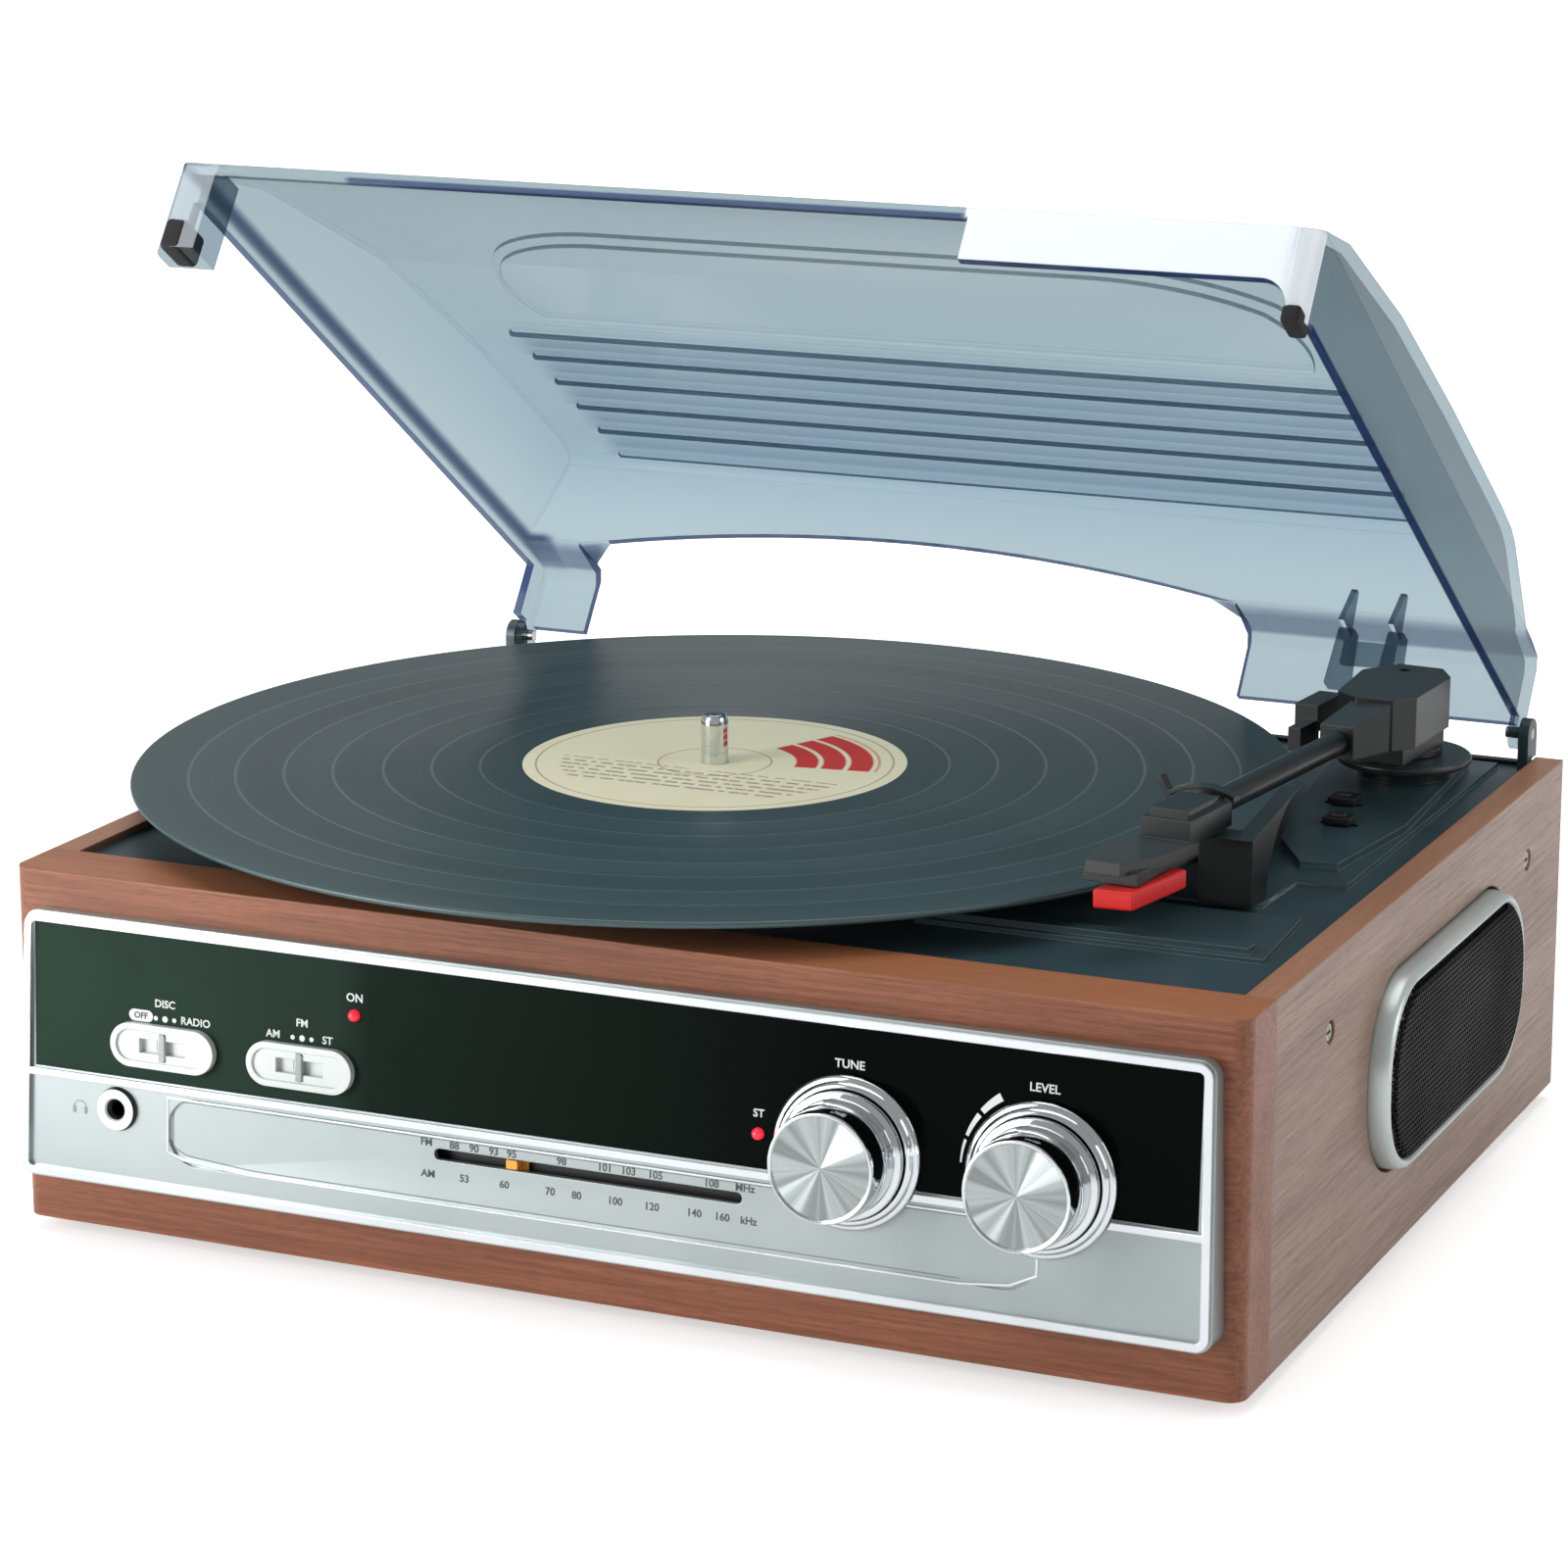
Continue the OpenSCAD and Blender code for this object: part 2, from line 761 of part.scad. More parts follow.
// ---------- radio works behind the fascia ----------

module front_board() {
    color("darkgreen")
        difference() {
            face_slab(0, fascia_h / 2, board_in + 1.6, -board_in)
                square([2 * window_half - 6, fascia_h - 2 * window_lap - 4], center = true);
            for (x = knob_xs)
                face_slab(x, knob_up, board_in + 3, -board_in + 1) circle(knob_shaft_r + 1);
        }
}

module tuning_capacitor() {
    color("ivory")
        difference() {
            face_slab(tuning_x, knob_up, capacitor_in + 14, -capacitor_in)
                rounded_rect(22, 22, 2);
            on_fascia(tuning_x, knob_up)
                rotate([-90, 0, 0]) cylinder(r = knob_shaft_r + run_fit, h = capacitor_in + 6.4);
        }
}

module volume_pot() {
    color("darkgray")
        difference() {
            face_slab(volume_x, knob_up, capacitor_in + 9, -capacitor_in) circle(9);
            on_fascia(volume_x, knob_up)
                rotate([-90, 0, 0]) cylinder(r = knob_shaft_r + run_fit, h = capacitor_in + 6.4);
        }
}

module slide_switches() {
    color("gray")
        for (x = switch_xs)
            difference() {
                face_slab(x, switch_up, board_in, -board_in + 7)
                    square([24, 8], center = true);
                face_slab(x, switch_up, board_in - 2, -board_in + 8)
                    square([lever_w + 2 * switch_travel + 2 * pass_gap, 2.8 + 2 * pass_gap], center = true);
            }
}

module main_board() {
    standoff = 8;
    board_w = 120;
    board_d = 84;
    color("green")
        translate([-inner_half + 21.5, inner_back - board_d - 32.25, foot_h + board_t]) {
            translate([0, 0, standoff]) cube([board_w, board_d, 1.6]);
            for (x = [5, board_w - 5], y = [5, board_d - 5])
                translate([x, y, 0]) cylinder(r = 3, h = standoff);
        }
    color("dimgray") {
        for (i = [0 : 3])
            translate([-120 + i * 24, 30, foot_h + board_t + standoff + 1.6])
                cylinder(r = 4 + i % 2, h = 12 + 2 * (i % 2));
        translate([-110, 60, foot_h + board_t + standoff + 1.6]) cube([38, 16, 14]);
    }
}

module mains_transformer() {
    base_z = foot_h + board_t;
    color("dimgray")
        difference() {
            translate([-12, 78, base_z]) cube([40, 34, 36]);
            for (x = [-8.5, 15.5])
                translate([x, 77, base_z + 8]) cube([9, 8, 20]);
        }
    color("orange")
        translate([0.5 + set_gap, 71, base_z + 8.2]) cube([15 - 2 * set_gap, 7, 19.6]);
}

// ---------- speakers ----------

module tapered_oval(low_w, low_h, low_r, high_w, high_h, high_r, height) {
    hull()
        for (x = [-1, 1], y = [-1, 1]) {
            translate([x * (low_w / 2 - low_r), y * (low_h / 2 - low_r), 0])
                cylinder(r = low_r, h = eps, $fn = 64);
            translate([x * (high_w / 2 - high_r), y * (high_h / 2 - high_r), height - eps])
                cylinder(r = high_r, h = eps, $fn = 64);
        }
}

mesh_len = grille_len - 2 * grille_in;
mesh_h = grille_h - 2 * grille_in;
mesh_r = grille_r - grille_in;
bezel_rise = grille_out - 1;

module speaker_bezel() {
    on_side(cab_w / 2 - panel_t)
        difference() {
            union() {
                linear_extrude(panel_t) rounded_rect(grille_len, grille_h, grille_r);
                translate([0, 0, panel_t])
                    tapered_oval(grille_len, grille_h, grille_r,
                        mesh_len + 1, mesh_h + 1, mesh_r + 0.5, bezel_rise);
            }
            translate([0, 0, -1])
                linear_extrude(panel_t + grille_out + 2)
                    rounded_rect(mesh_len - 1.6, mesh_h - 1.6, mesh_r - 0.8);
        }
}

module speaker_bezel_right() { color("silver") speaker_bezel(); }
module speaker_bezel_left() { color("silver") mirror([1, 0, 0]) speaker_bezel(); }

// A punched steel grille with a rolled edge, held in the bezel
module speaker_grille() {
    rows = grille_rows;
    pitch = (mesh_h - 8) / rows;
    on_side(cab_w / 2)
        difference() {
            union() {
                translate([0, 0, bezel_rise])
                    linear_extrude(0.6) rounded_rect(mesh_len, mesh_h, mesh_r);
                translate([0, 0, bezel_rise + 0.6])
                    linear_extrude(0.4) rounded_rect(mesh_len - 1.4, mesh_h - 1.4, mesh_r - 0.7);
                translate([0, 0, bezel_rise - 4])
                    linear_extrude(4)
                        rounded_rect(mesh_len - 1.6 - 2 * set_gap, mesh_h - 1.6 - 2 * set_gap, mesh_r - 1);
            }
            translate([0, 0, bezel_rise - 5])
                linear_extrude(5.2)
                    rounded_rect(mesh_len - 4, mesh_h - 4, mesh_r - 2);
            for (i = [0 : rows - 1]) {
                y = (i - (rows - 1) / 2) * pitch;
                reach = mesh_len / 2 - mesh_r + sqrt(max(0, pow(mesh_r - 4, 2)
                    - pow(max(0, abs(y) - (mesh_h / 2 - mesh_r)), 2))) - 1;
                translate([-reach, y - 0.6, bezel_rise - 1]) cube([2 * reach, 1.2, 3]);
            }
        }
}

module grille_right() { color([0.08, 0.08, 0.08]) speaker_grille(); }
module grille_left() { color([0.08, 0.08, 0.08]) mirror([1, 0, 0]) speaker_grille(); }

speaker_r = 31;

// A loudspeaker behind the side panel: frame, cone, magnet and dust cap
module speaker() {
    translate([inner_half, grille_y, foot_h + grille_up - 4])
        rotate([0, -90, 0])
            rotate_extrude()
                polygon([
                    [0, 7], [8, 5.5], [12, 10], [speaker_r - 6, 1.5], [speaker_r - 4, 1.5],
                    [speaker_r - 4, 0], [speaker_r, 0], [speaker_r, 2], [speaker_r - 4, 3],
                    [18, 17], [18, 19], [20, 19], [20, 29], [0, 29]]);
}

module speaker_right() { color("dimgray") speaker(); }
module speaker_left() { color("dimgray") mirror([1, 0, 0]) speaker(); }

// ---------- record player ----------

module on_platter(z) { translate([platter_x, platter_y, z]) children(); }

spindle_tip = 2.6;
spindle_low = well_z - 16;

module spindle() {
    r = spindle_d / 2;
    top = record_z + spindle_rise;
    color("silver")
        on_platter(0)
            rotate_extrude()
                polygon(concat(
                    [[0, spindle_low], [r, spindle_low]],
                    [for (a = [0 : 10 : 80])
                        [r - 1.2 + 1.2 * cos(a), top - spindle_tip + spindle_tip * sin(a)]],
                    [[0, top]]));
}

module bearing_housing() {
    color("gold")
        on_platter(0)
            difference() {
                union() {
                    translate([0, 0, well_z - deck_t - 3]) cylinder(r = 16, h = 3);
                    translate([0, 0, well_z - deck_t - 12]) cylinder(r = 7.5, h = 9 + eps);
                    translate([0, 0, well_z - deck_t - eps])
                        cylinder(r = hub_r - 1 - run_fit, h = hub_low - pass_gap - well_z + deck_t);
                }
                translate([0, 0, spindle_low - 1]) cylinder(d = spindle_d, h = 60);
            }
}

module platter() {
    color("dimgray")
        on_platter(0)
            rotate_extrude()
                polygon([
                    [spindle_d / 2 + run_fit, hub_low], [hub_r, hub_low], [hub_r, platter_under],
                    [track_r - 3, platter_under], [track_r - 3, track_low], [track_r, track_low],
                    [track_r, platter_under], [platter_r - 3, platter_under],
                    [platter_r - 3, skirt_low], [platter_r, skirt_low], [platter_r, mat_z - 1],
                    [platter_r - 1, mat_z], [spindle_d / 2 + run_fit, mat_z]]);
}

module slip_mat() {
    color([0.15, 0.15, 0.15])
        on_platter(mat_z)
            difference() {
                cylinder(r = platter_r - 2, h = mat_t);
                translate([0, 0, -1]) cylinder(r = spindle_d / 2 + 1, h = mat_t + 2);
            }
}

groove_drop = 0.15;
label_t = 0.2;

// The record: thick label field and rim bead, thinner grooved field between them
module record() {
    r = record_d / 2;
    field = label_d / 2 + 3;
    color([0.13, 0.17, 0.18])
        on_platter(record_z - record_t)
            rotate_extrude()
                polygon([
                    [record_hole_r, 0], [field, 0], [field + 1, groove_drop],
                    [r - 3, groove_drop], [r - 2, 0], [r - 0.8, 0], [r, 0.7], [r, record_t - 0.7],
                    [r - 0.8, record_t], [r - 2, record_t], [r - 3, record_t - groove_drop],
                    [field + 1, record_t - groove_drop], [field, record_t],
                    [label_d / 2, record_t], [label_d / 2, record_t - label_t],
                    [record_hole_r, record_t - label_t]]);
}

module record_label() {
    color("wheat")
        on_platter(record_z - label_t)
            difference() {
                cylinder(d = label_d, h = label_t);
                translate([0, 0, -1]) cylinder(r = record_hole_r, h = 3);
            }
}

module drive_motor() {
    top = well_z - deck_t;
    color("lightgray")
        translate([motor_x, motor_y, 0])
            difference() {
                union() {
                    translate([0, 0, top - motor_h]) cylinder(r = motor_r, h = motor_h - 2);
                    translate([0, 0, top - 2]) cylinder(r = motor_r + 4, h = 2);
                    translate([0, 0, top - eps]) cylinder(r = 3.5, h = 2);
                }
                translate([0, 0, top - motor_h + 3])
                    cylinder(r = motor_shaft_r + run_fit, h = motor_h + 4);
            }
}

module motor_pulley() {
    low = belt_z - 1.2;
    color("gold")
        translate([motor_x, motor_y, 0]) {
            rotate_extrude()
                polygon([
                    [0, low], [pulley_r + 1.5, low], [pulley_r + 1.5, low + 0.8],
                    [pulley_r, low + 1.1], [pulley_r, belt_z + belt_w + 0.1],
                    [pulley_r + 1.5, belt_z + belt_w + 0.4],
                    [pulley_r + 1.5, belt_z + belt_w + 1.2], [0, belt_z + belt_w + 1.2]]);
            translate([0, 0, well_z - deck_t - motor_h + 4])
                cylinder(r = motor_shaft_r, h = low - well_z + deck_t + motor_h - 4 + eps);
        }
}

// The loop round two circles whose centres lie `span` apart on the x axis
module belt_loop(big, small, span) {
    lean = acos((big - small) / span);
    circle(big);
    translate([span, 0]) circle(small);
    polygon([
        [big * cos(lean), big * sin(lean)],
        [span + small * cos(lean), small * sin(lean)],
        [span + small * cos(lean), -small * sin(lean)],
        [big * cos(lean), -big * sin(lean)]]);
}

module drive_belt() {
    color([0.1, 0.1, 0.1])
        on_platter(belt_z)
            rotate(motor_angle)
                linear_extrude(belt_w)
                    difference() {
                        belt_loop(track_r + run_fit + belt_t, pulley_r + run_fit + belt_t, motor_reach);
                        belt_loop(track_r + run_fit, pulley_r + run_fit, motor_reach);
                    }
}

// ---------- tonearm ----------

// The arm's own frame: lift pin at the origin, arm along -y, before its slope
module at_arm() {
    translate([arm_x, arm_y, arm_z]) rotate([0, 0, -arm_turn]) children();
}

// The same frame with the arm's slope, for all that rises with the tube
module on_arm() { at_arm() rotate([-arm_slope, 0, 0]) children(); }

module arm_base() {
    color([0.2, 0.23, 0.24])
        translate([arm_x, arm_y, 0])
            difference() {
                union() {
                    translate([0, 0, pad_z]) cylinder(r = 12, h = base_top - 2.5 - pad_z + eps);
                    translate([0, 0, base_top - 2.5]) cylinder(r1 = base_r - 0.6, r2 = base_r, h = 0.6);
                    translate([0, 0, base_top - 1.9]) cylinder(r = base_r, h = 1.2);
                    translate([0, 0, base_top - 0.7]) cylinder(r1 = base_r, r2 = base_r - 0.8, h = 0.7);
                    translate([0, 0, deck_z - deck_t - 2]) cylinder(r = 9, h = 2);
                    translate([0, 0, deck_z - deck_t - 2])
                        cylinder(r = arm_shaft_r + 1 - run_fit, h = pad_z - deck_z + deck_t + 2 + eps);
                }
                translate([0, 0, deck_z - deck_t - 3])
                    cylinder(r = arm_shaft_r + run_fit, h = 30);
            }
}

lug_half = 4;
turret_half = 8;
cue_axle_y = -16;
cue_axle_z = -7.2;
cue_axle_r = 1.5;
cue_hub_r = 3;
cue_left = -16;

module arm_turret() {
    collar_z = deck_z - deck_t - 2 - pass_gap - 4 - arm_z;
    color([0.1, 0.1, 0.1])
        at_arm() {
            translate([0, 0, turret_low]) cylinder(r = 10, h = 2);
            difference() {
                translate([-turret_half, -23, turret_low + 2 - eps]) cube([2 * turret_half + 1, 28, 4]);
                translate([-turret_half - 1, cue_axle_y, cue_axle_z])
                    rotate([0, 90, 0]) cylinder(r = cue_axle_r + run_fit, h = 4.5);
            }
            translate([-lug_half, -lug_r, turret_low + 5]) cube([2 * lug_half, 2 * lug_r, -turret_low - 5]);
            rotate([0, 90, 0]) cylinder(r = lug_r, h = 2 * lug_half, center = true);
            rotate([0, 90, 0]) cylinder(r = lift_pin_r, h = 18, center = true);
            translate([0, 0, collar_z]) cylinder(r = arm_shaft_r, h = turret_low - collar_z + eps);
            translate([0, 0, collar_z]) cylinder(r = 6, h = 4);
        }
}

housing_low = -2.6;
housing_top = 10.7;
housing_plan = [
    [-5.5, -33], [-10, -6], [-4, 5.5], [8, 5.5], [13.5, -3], [15.5, -31], [11.5, -37], [1.5, -38]];

// The arm's moulded housing: it rides on the lift pin astride the turret's lug
module arm_housing() {
    slot_half = lug_half + pass_gap;
    color([0.13, 0.15, 0.16])
        on_arm()
            difference() {
                union() {
                    translate([0, 0, housing_low])
                        linear_extrude(housing_top - housing_low) polygon(housing_plan);
                    hull() {
                        translate([-4.6, -46, -4]) cube([9.2, 0.5, 8.6]);
                        translate([0.5, -36, -2.6]) cube([11, 0.5, 12.6]);
                    }
                }
                translate([-slot_half, -lug_r - 2, housing_low - 1])
                    cube([2 * slot_half, 20, lug_r + 2 - housing_low]);
                rotate([0, 90, 0])
                    cylinder(r = lift_pin_r + run_fit, h = 18 + 2 * pass_gap, center = true);
                translate([0, -1, 7]) cylinder(r = 1.6, h = 10);
                translate([0, tube_back - 9, 0]) rotate([-90, 0, 0]) cylinder(d = tube_d, h = 9);
            }
}

module arm_tube() {
    color([0.16, 0.18, 0.19])
        on_arm()
            translate([0, tube_back, 0])
                rotate([90, 0, 0]) cylinder(d = tube_d, h = tube_back - head_back + tube_seat);
}

// Headshell: socket block, raised block with a slanted facet, wedge nose and finger lift
module headshell() {
    nose = -arm_len;
    color([0.13, 0.15, 0.16])
        on_arm() {
            difference() {
                union() {
                    translate([-6.5, head_back - 24, -3.6]) cube([13, 24, 6]);
                    intersection() {
                        translate([-5, head_back - 22, -3.6]) cube([10, 20, 8]);
                        translate([-20, head_back - 22, -3.6])
                            rotate([24, 0, 0]) cube([40, 40, 60]);
                    }
                    translate([0, nose, -3.6])
                        rotate([-3.4, 0, 0])
                            linear_extrude(3)
                                polygon([[-4.5, 0], [4.5, 0], [8, 16], [8, 36], [-8, 36], [-8, 16]]);
                    translate([-7, nose + 4, -6.6]) cube([14, 34, 3.2]);
                }
                translate([0, head_back + 1, 0])
                    rotate([90, 0, 0]) cylinder(d = tube_d, h = tube_seat + 1);
            }
            finger_lift();
        }
}

lift_left = -10.5;
lift_right = 7;
lift_bow = 17.2;
lift_t = 1.2;
collar_r = tube_d / 2 + 1.5;

// Thin bowed strip over the tube, with an upturned tip at its left end
module finger_lift() {
    translate([0, head_back + 3, 0])
        rotate([90, 0, 0])
            linear_extrude(3)
                difference() {
                    union() {
                        intersection() {
                            translate([-1.5, 4.2 - lift_bow])
                                difference() {
                                    circle(lift_bow + lift_t);
                                    circle(lift_bow);
                                }
                            translate([lift_left, 0]) square([lift_right - lift_left, 8]);
                        }
                        translate([lift_left - 0.3, 1.2]) rotate(31) square([lift_t, 5.4]);
                        circle(collar_r);
                    }
                    circle(d = tube_d);
                }
}

module stylus_holder() {
    nose = -arm_len;
    color("red")
        on_arm()
            intersection() {
                translate([0, nose - 1, -12])
                    linear_extrude(5.4)
                        polygon([[-2.5, 0], [2.5, 0], [3.6, 6], [3.6, 24], [-3.6, 24], [-3.6, 6]]);
                translate([-10, nose - 1, -9.4])
                    rotate([3, 0, 0]) cube([20, 26, 10]);
            }
}

// Cueing lever at the turret's left: hub and axle, arm, thumb block and front tab
module cue_lever() {
    color([0.08, 0.08, 0.08])
        at_arm() {
            translate([cue_left, cue_axle_y, cue_axle_z])
                rotate([0, 90, 0]) {
                    cylinder(r = cue_hub_r, h = 5);
                    cylinder(r = cue_axle_r, h = -cue_left - turret_half + 3);
                }
            translate([cue_left, cue_axle_y - 3, cue_axle_z]) cube([3.5, 6, 8]);
            translate([cue_left - 2.5, cue_axle_y - 14, cue_axle_z + 6]) cube([6.5, 16, 7]);
            translate([cue_left, cue_axle_y - 24, cue_axle_z + 3]) cube([3.5, 12, 6]);
        }
}

rest_front = -40;
rest_back = -31;
rest_left = 117.3;
rest_right = 131;
horn_t = 4.5;
horn_tip = [-5, 21.2];
horn_bow = 30;
rest_top = arm_z - (head_back + 3) * sin(arm_slope) - collar_r - pass_gap;

// Arm rest: a block under the tube, and a horn that sweeps back along the tube's right side
module arm_rest() {
    floor_z = deck_z + field_rise;
    color([0.1, 0.1, 0.1]) {
        translate([rest_left, rest_front, floor_z])
            cube([rest_right - rest_left, rest_back - rest_front, rest_top - floor_z]);
        translate([rest_right - horn_t, 0, 0])
            rotate([90, 0, 90])
                linear_extrude(horn_t)
                    difference() {
                        polygon([
                            [rest_front, floor_z], [horn_tip.x, floor_z],
                            [horn_tip.x, rim_z + horn_tip.y], [rest_front, rest_top]]);
                        translate([horn_tip.x + 1, floor_z - 4.5]) circle(horn_bow - 4);
                    }
    }
}

// ---------- small deck switches ----------

module small_switch(x, y) {
    color([0.1, 0.1, 0.1]) {
        translate([x - 1.8, y - small_slot_h / 2 + pass_gap, deck_z - deck_t - 3])
            cube([3.6, small_slot_h - 2 * pass_gap, deck_t + pad_rise + 6]);
        translate([x - 3.6, y - 3.2, pad_z + pass_gap]) cube([7.2, 6.4, 2]);
    }
}

module speed_switch() { small_switch(speed_x, speed_y); }
module stop_switch() { small_switch(stop_x, stop_y); }

// ---------- lid and hinges ----------

// The lid's own frame: hinge axis at the origin, lid forward along -y, closed level
module on_lid() {
    translate([0, hinge_y, hinge_z]) rotate([-lid_open, 0, 0]) children();
}

// Extrudes an outline of (reach, height) points between two x places
module lid_slice(from_x, to_x) {
    translate([from_x, 0, 0])
        rotate([90, 0, 90])
            mirror([1, 0, 0]) linear_extrude(to_x - from_x) children();
}

module lid_side_outline(shrink, low) {
    polygon(concat(
        [[lid_reach - shrink, low], [lid_reach - shrink, lid_top[4].y - 1.5 - shrink]],
        [for (i = [4 : -1 : 0]) [lid_top[i].x, lid_top[i].y - shrink]],
        [[wall_back + 3 + shrink, lid_top[0].y - 1 - shrink],
         [wall_back + shrink, lid_top[0].y - 4 - shrink],
         [wall_back - 1 + shrink, crease_h + 1 - shrink],
         [strip_back + 2 + shrink, crease_h - 1 - shrink],
         [strip_back + shrink, crease_h - 4 - shrink], [strip_back + shrink, low]]));
}

module lid_front_outline(shrink, low) {
    half = lid_half - shrink;
    top = lid_top[0].y + 10;
    lean = side_lean * (top - crease_h) / (lid_top[0].y - crease_h);
    polygon([
        [-half, low], [half, low], [half, crease_h], [half - lean, top],
        [-half + lean, top], [-half, crease_h]]);
}

// Seen from above: straight sides and two rounded front corners
module lid_plan(shrink) {
    half = lid_half - shrink;
    r = lid_r - shrink;
    front = lid_reach - shrink;
    translate([0, 0, -30])
        linear_extrude(120) {
            translate([-half, -front + r]) square([2 * half, front + 40]);
            translate([-half + r, -front]) square([2 * (half - r), front]);
            for (s = [-1, 1])
                translate([s * (half - r), -front + r]) circle(r);
        }
}

module lid_block(shrink, low) {
    intersection() {
        lid_slice(-lid_half, lid_half) lid_side_outline(shrink, low);
        translate([0, 20, 0])
            rotate([90, 0, 0]) linear_extrude(lid_reach + 40) lid_front_outline(shrink, low);
        lid_plan(shrink);
    }
}

// A box in the lid's frame, given by its x, reach and height ranges
module lid_box(x, reach, height) {
    translate([x[0], -reach[1], height[0]])
        cube([x[1] - x[0], reach[1] - reach[0], height[1] - height[0]]);
}

emboss = 1.2;
emboss_x = 1;
emboss_half = 66.5;
emboss_reach = 128;
emboss_r = 48;
emboss_low = 17;
lid_r = 7;
lip_r = 7;
arch_left = platter_x - 97.5;
arch_right = platter_x + 96.5;
bracket_x = lid_half - 54;
fin_t = 1.6;
bracket_gap = 14;
arch_rise = 9;
arch_x = (arch_left + arch_right) / 2;
arch_r = (pow(arch_right - arch_x, 2) + pow(arch_rise, 2)) / (2 * arch_rise);
rib_left = -122;
rib_right = 117;
lip_left = platter_x + 95.5;
lip_w = lid_half - 3 - lip_left;
rib_first = 8;
rib_last = 104;

function top_at(u) = lookup(u, concat([[wall_back, lid_top[0].y]], lid_top));

module lid_emboss(shrink, height) {
    intersection() {
        lid_slice(-lid_half, lid_half)
            polygon(concat(
                [for (u = [108, 150, 190]) [u, top_at(u) + height - shrink]],
                [for (u = [190, 150, 108]) [u, top_at(u) - 1 - shrink]]));
        translate([emboss_x, 0, 0])
            linear_extrude(100)
                intersection() {
                    union() {
                        for (s = [-1, 1])
                            translate([s * emboss_half, -emboss_reach]) circle(emboss_r - shrink);
                        translate([-emboss_half, -emboss_reach - emboss_r + shrink])
                            square([2 * emboss_half, 2 * (emboss_r - shrink)]);
                    }
                    translate([-lid_half, -emboss_reach - emboss_r])
                        square([2 * lid_half, emboss_r + emboss_low - shrink]);
                }
    }
}

module lid() {
    ear_r = hinge_rise - 2.6;
    color([0.55, 0.65, 0.75, 0.5])
        on_lid()
            difference() {
                union() {
                    difference() {
                        union() {
                            lid_block(0, lid_low);
                            lid_emboss(0, emboss);
                        }
                        lid_block(lid_t, -20);
                        lid_emboss(lid_t, emboss);
                    }
                    // ears round the hinge pins, rear strips and front corner legs
                    for (s = [0, 1])
                        mirror([s, 0, 0])
                            translate([lid_half - lid_t, 0, 0])
                                rotate([0, 90, 0]) cylinder(r = ear_r, h = lid_t);
                    lid_box([-lid_half, -lid_half + lid_t], [strip_back, ear_r], [0, lid_low + 1]);
                    lid_box([lid_half - lid_t, lid_half], [strip_back, ear_r], [0, lid_low + 1]);
                    intersection() {
                        union() {
                            lid_box([-lid_half, -lid_half + 13], [lid_reach - 12, lid_reach], [-1, 22]);
                            lid_box([lid_half - 4, lid_half], [lid_reach - 10, lid_reach], [1, 20]);
                        }
                        lid_plan(0);
                    }
                    // rib lines under the back half of the top
                    for (i = [0 : lid_ribs - 1]) {
                        u = wall_back + rib_first + i * (rib_last - wall_back - rib_first) / (lid_ribs - 1);
                        lid_box([rib_left, rib_right], [u, u + 2],
                            [top_at(u + 2) - lid_t - 1.4, top_at(u + 2) - lid_t + 0.4]);
                    }
                    // clip bracket on the rear strip
                    for (x = [bracket_x, bracket_x + bracket_gap])
                        lid_slice(x, x + fin_t)
                            polygon([
                                [strip_back + 2, crease_h - 2], [10, crease_h - 2], [8, crease_h + 2],
                                [3, crease_h + 12], [1, crease_h + 12]]);
                }
                // open left side, front and rear, where the record reaches past the cabinet
                lid_box([-lid_half - 1, -lid_half + 10], [9, lid_reach - 14], [-20, 18.5]);
                lid_box([-lid_half + 13, lip_left], [lid_reach - 20, lid_reach + 5], [-20, 20]);
                translate([0, -lid_reach - 5, -20])
                    intersection() {
                        cube([lid_half - 4, 11, 29]);
                        translate([lip_left - 1, 12, 0])
                            rotate([90, 0, 0])
                                linear_extrude(13) {
                                    translate([0, -1]) square([lip_w - lip_r, 30]);
                                    translate([0, -1]) square([lip_w, 30 - lip_r]);
                                    translate([lip_w - lip_r, 29 - lip_r]) circle(lip_r);
                                }
                    }
                lid_box([arch_left - 3, arch_right + 2], [strip_back - 5, 9], [-20, crease_h - 3]);
                translate([arch_x, 20, crease_h + arch_rise - arch_r])
                    rotate([90, 0, 0])
                        intersection() {
                            cylinder(r = arch_r, h = 40, $fn = 240);
                            translate([-100, arch_r - 60, -1]) cube([200, 70, 60]);
                        }
                rotate([0, 90, 0])
                    cylinder(r = hinge_pin_r + run_fit, h = 2 * lid_half + 4, center = true);
            }
}

post_r = 4.2;
post_in = lid_half + 0.4;

module hinge_posts() {
    color("dimgray")
        for (s = [0, 1])
            mirror([s, 0, 0])
                difference() {
                    union() {
                        translate([post_in, hinge_y, hinge_z])
                            rotate([0, 90, 0]) cylinder(r = post_r, h = deck_half - post_in);
                        translate([post_in, hinge_y - post_r, rim_z + pass_gap])
                            cube([deck_half - post_in, 2 * post_r, hinge_z - rim_z - pass_gap]);
                        translate([post_in, hinge_y - post_r, deck_z])
                            cube([
                                deck_half - post_in, post_r + inner_back - set_gap - hinge_y,
                                hinge_z - deck_z]);
                    }
                    translate([post_in - 1, hinge_y, hinge_z])
                        rotate([0, 90, 0]) cylinder(r = hinge_pin_r, h = deck_half);
                }
}

module hinge_pins() {
    color("silver")
        for (s = [0, 1])
            mirror([s, 0, 0])
                translate([lid_half - lid_t - 1.4, hinge_y, hinge_z])
                    rotate([0, 90, 0]) cylinder(r = hinge_pin_r, h = deck_half - lid_half + lid_t + 1.4);
}

// ---------- choice of the node to build ----------

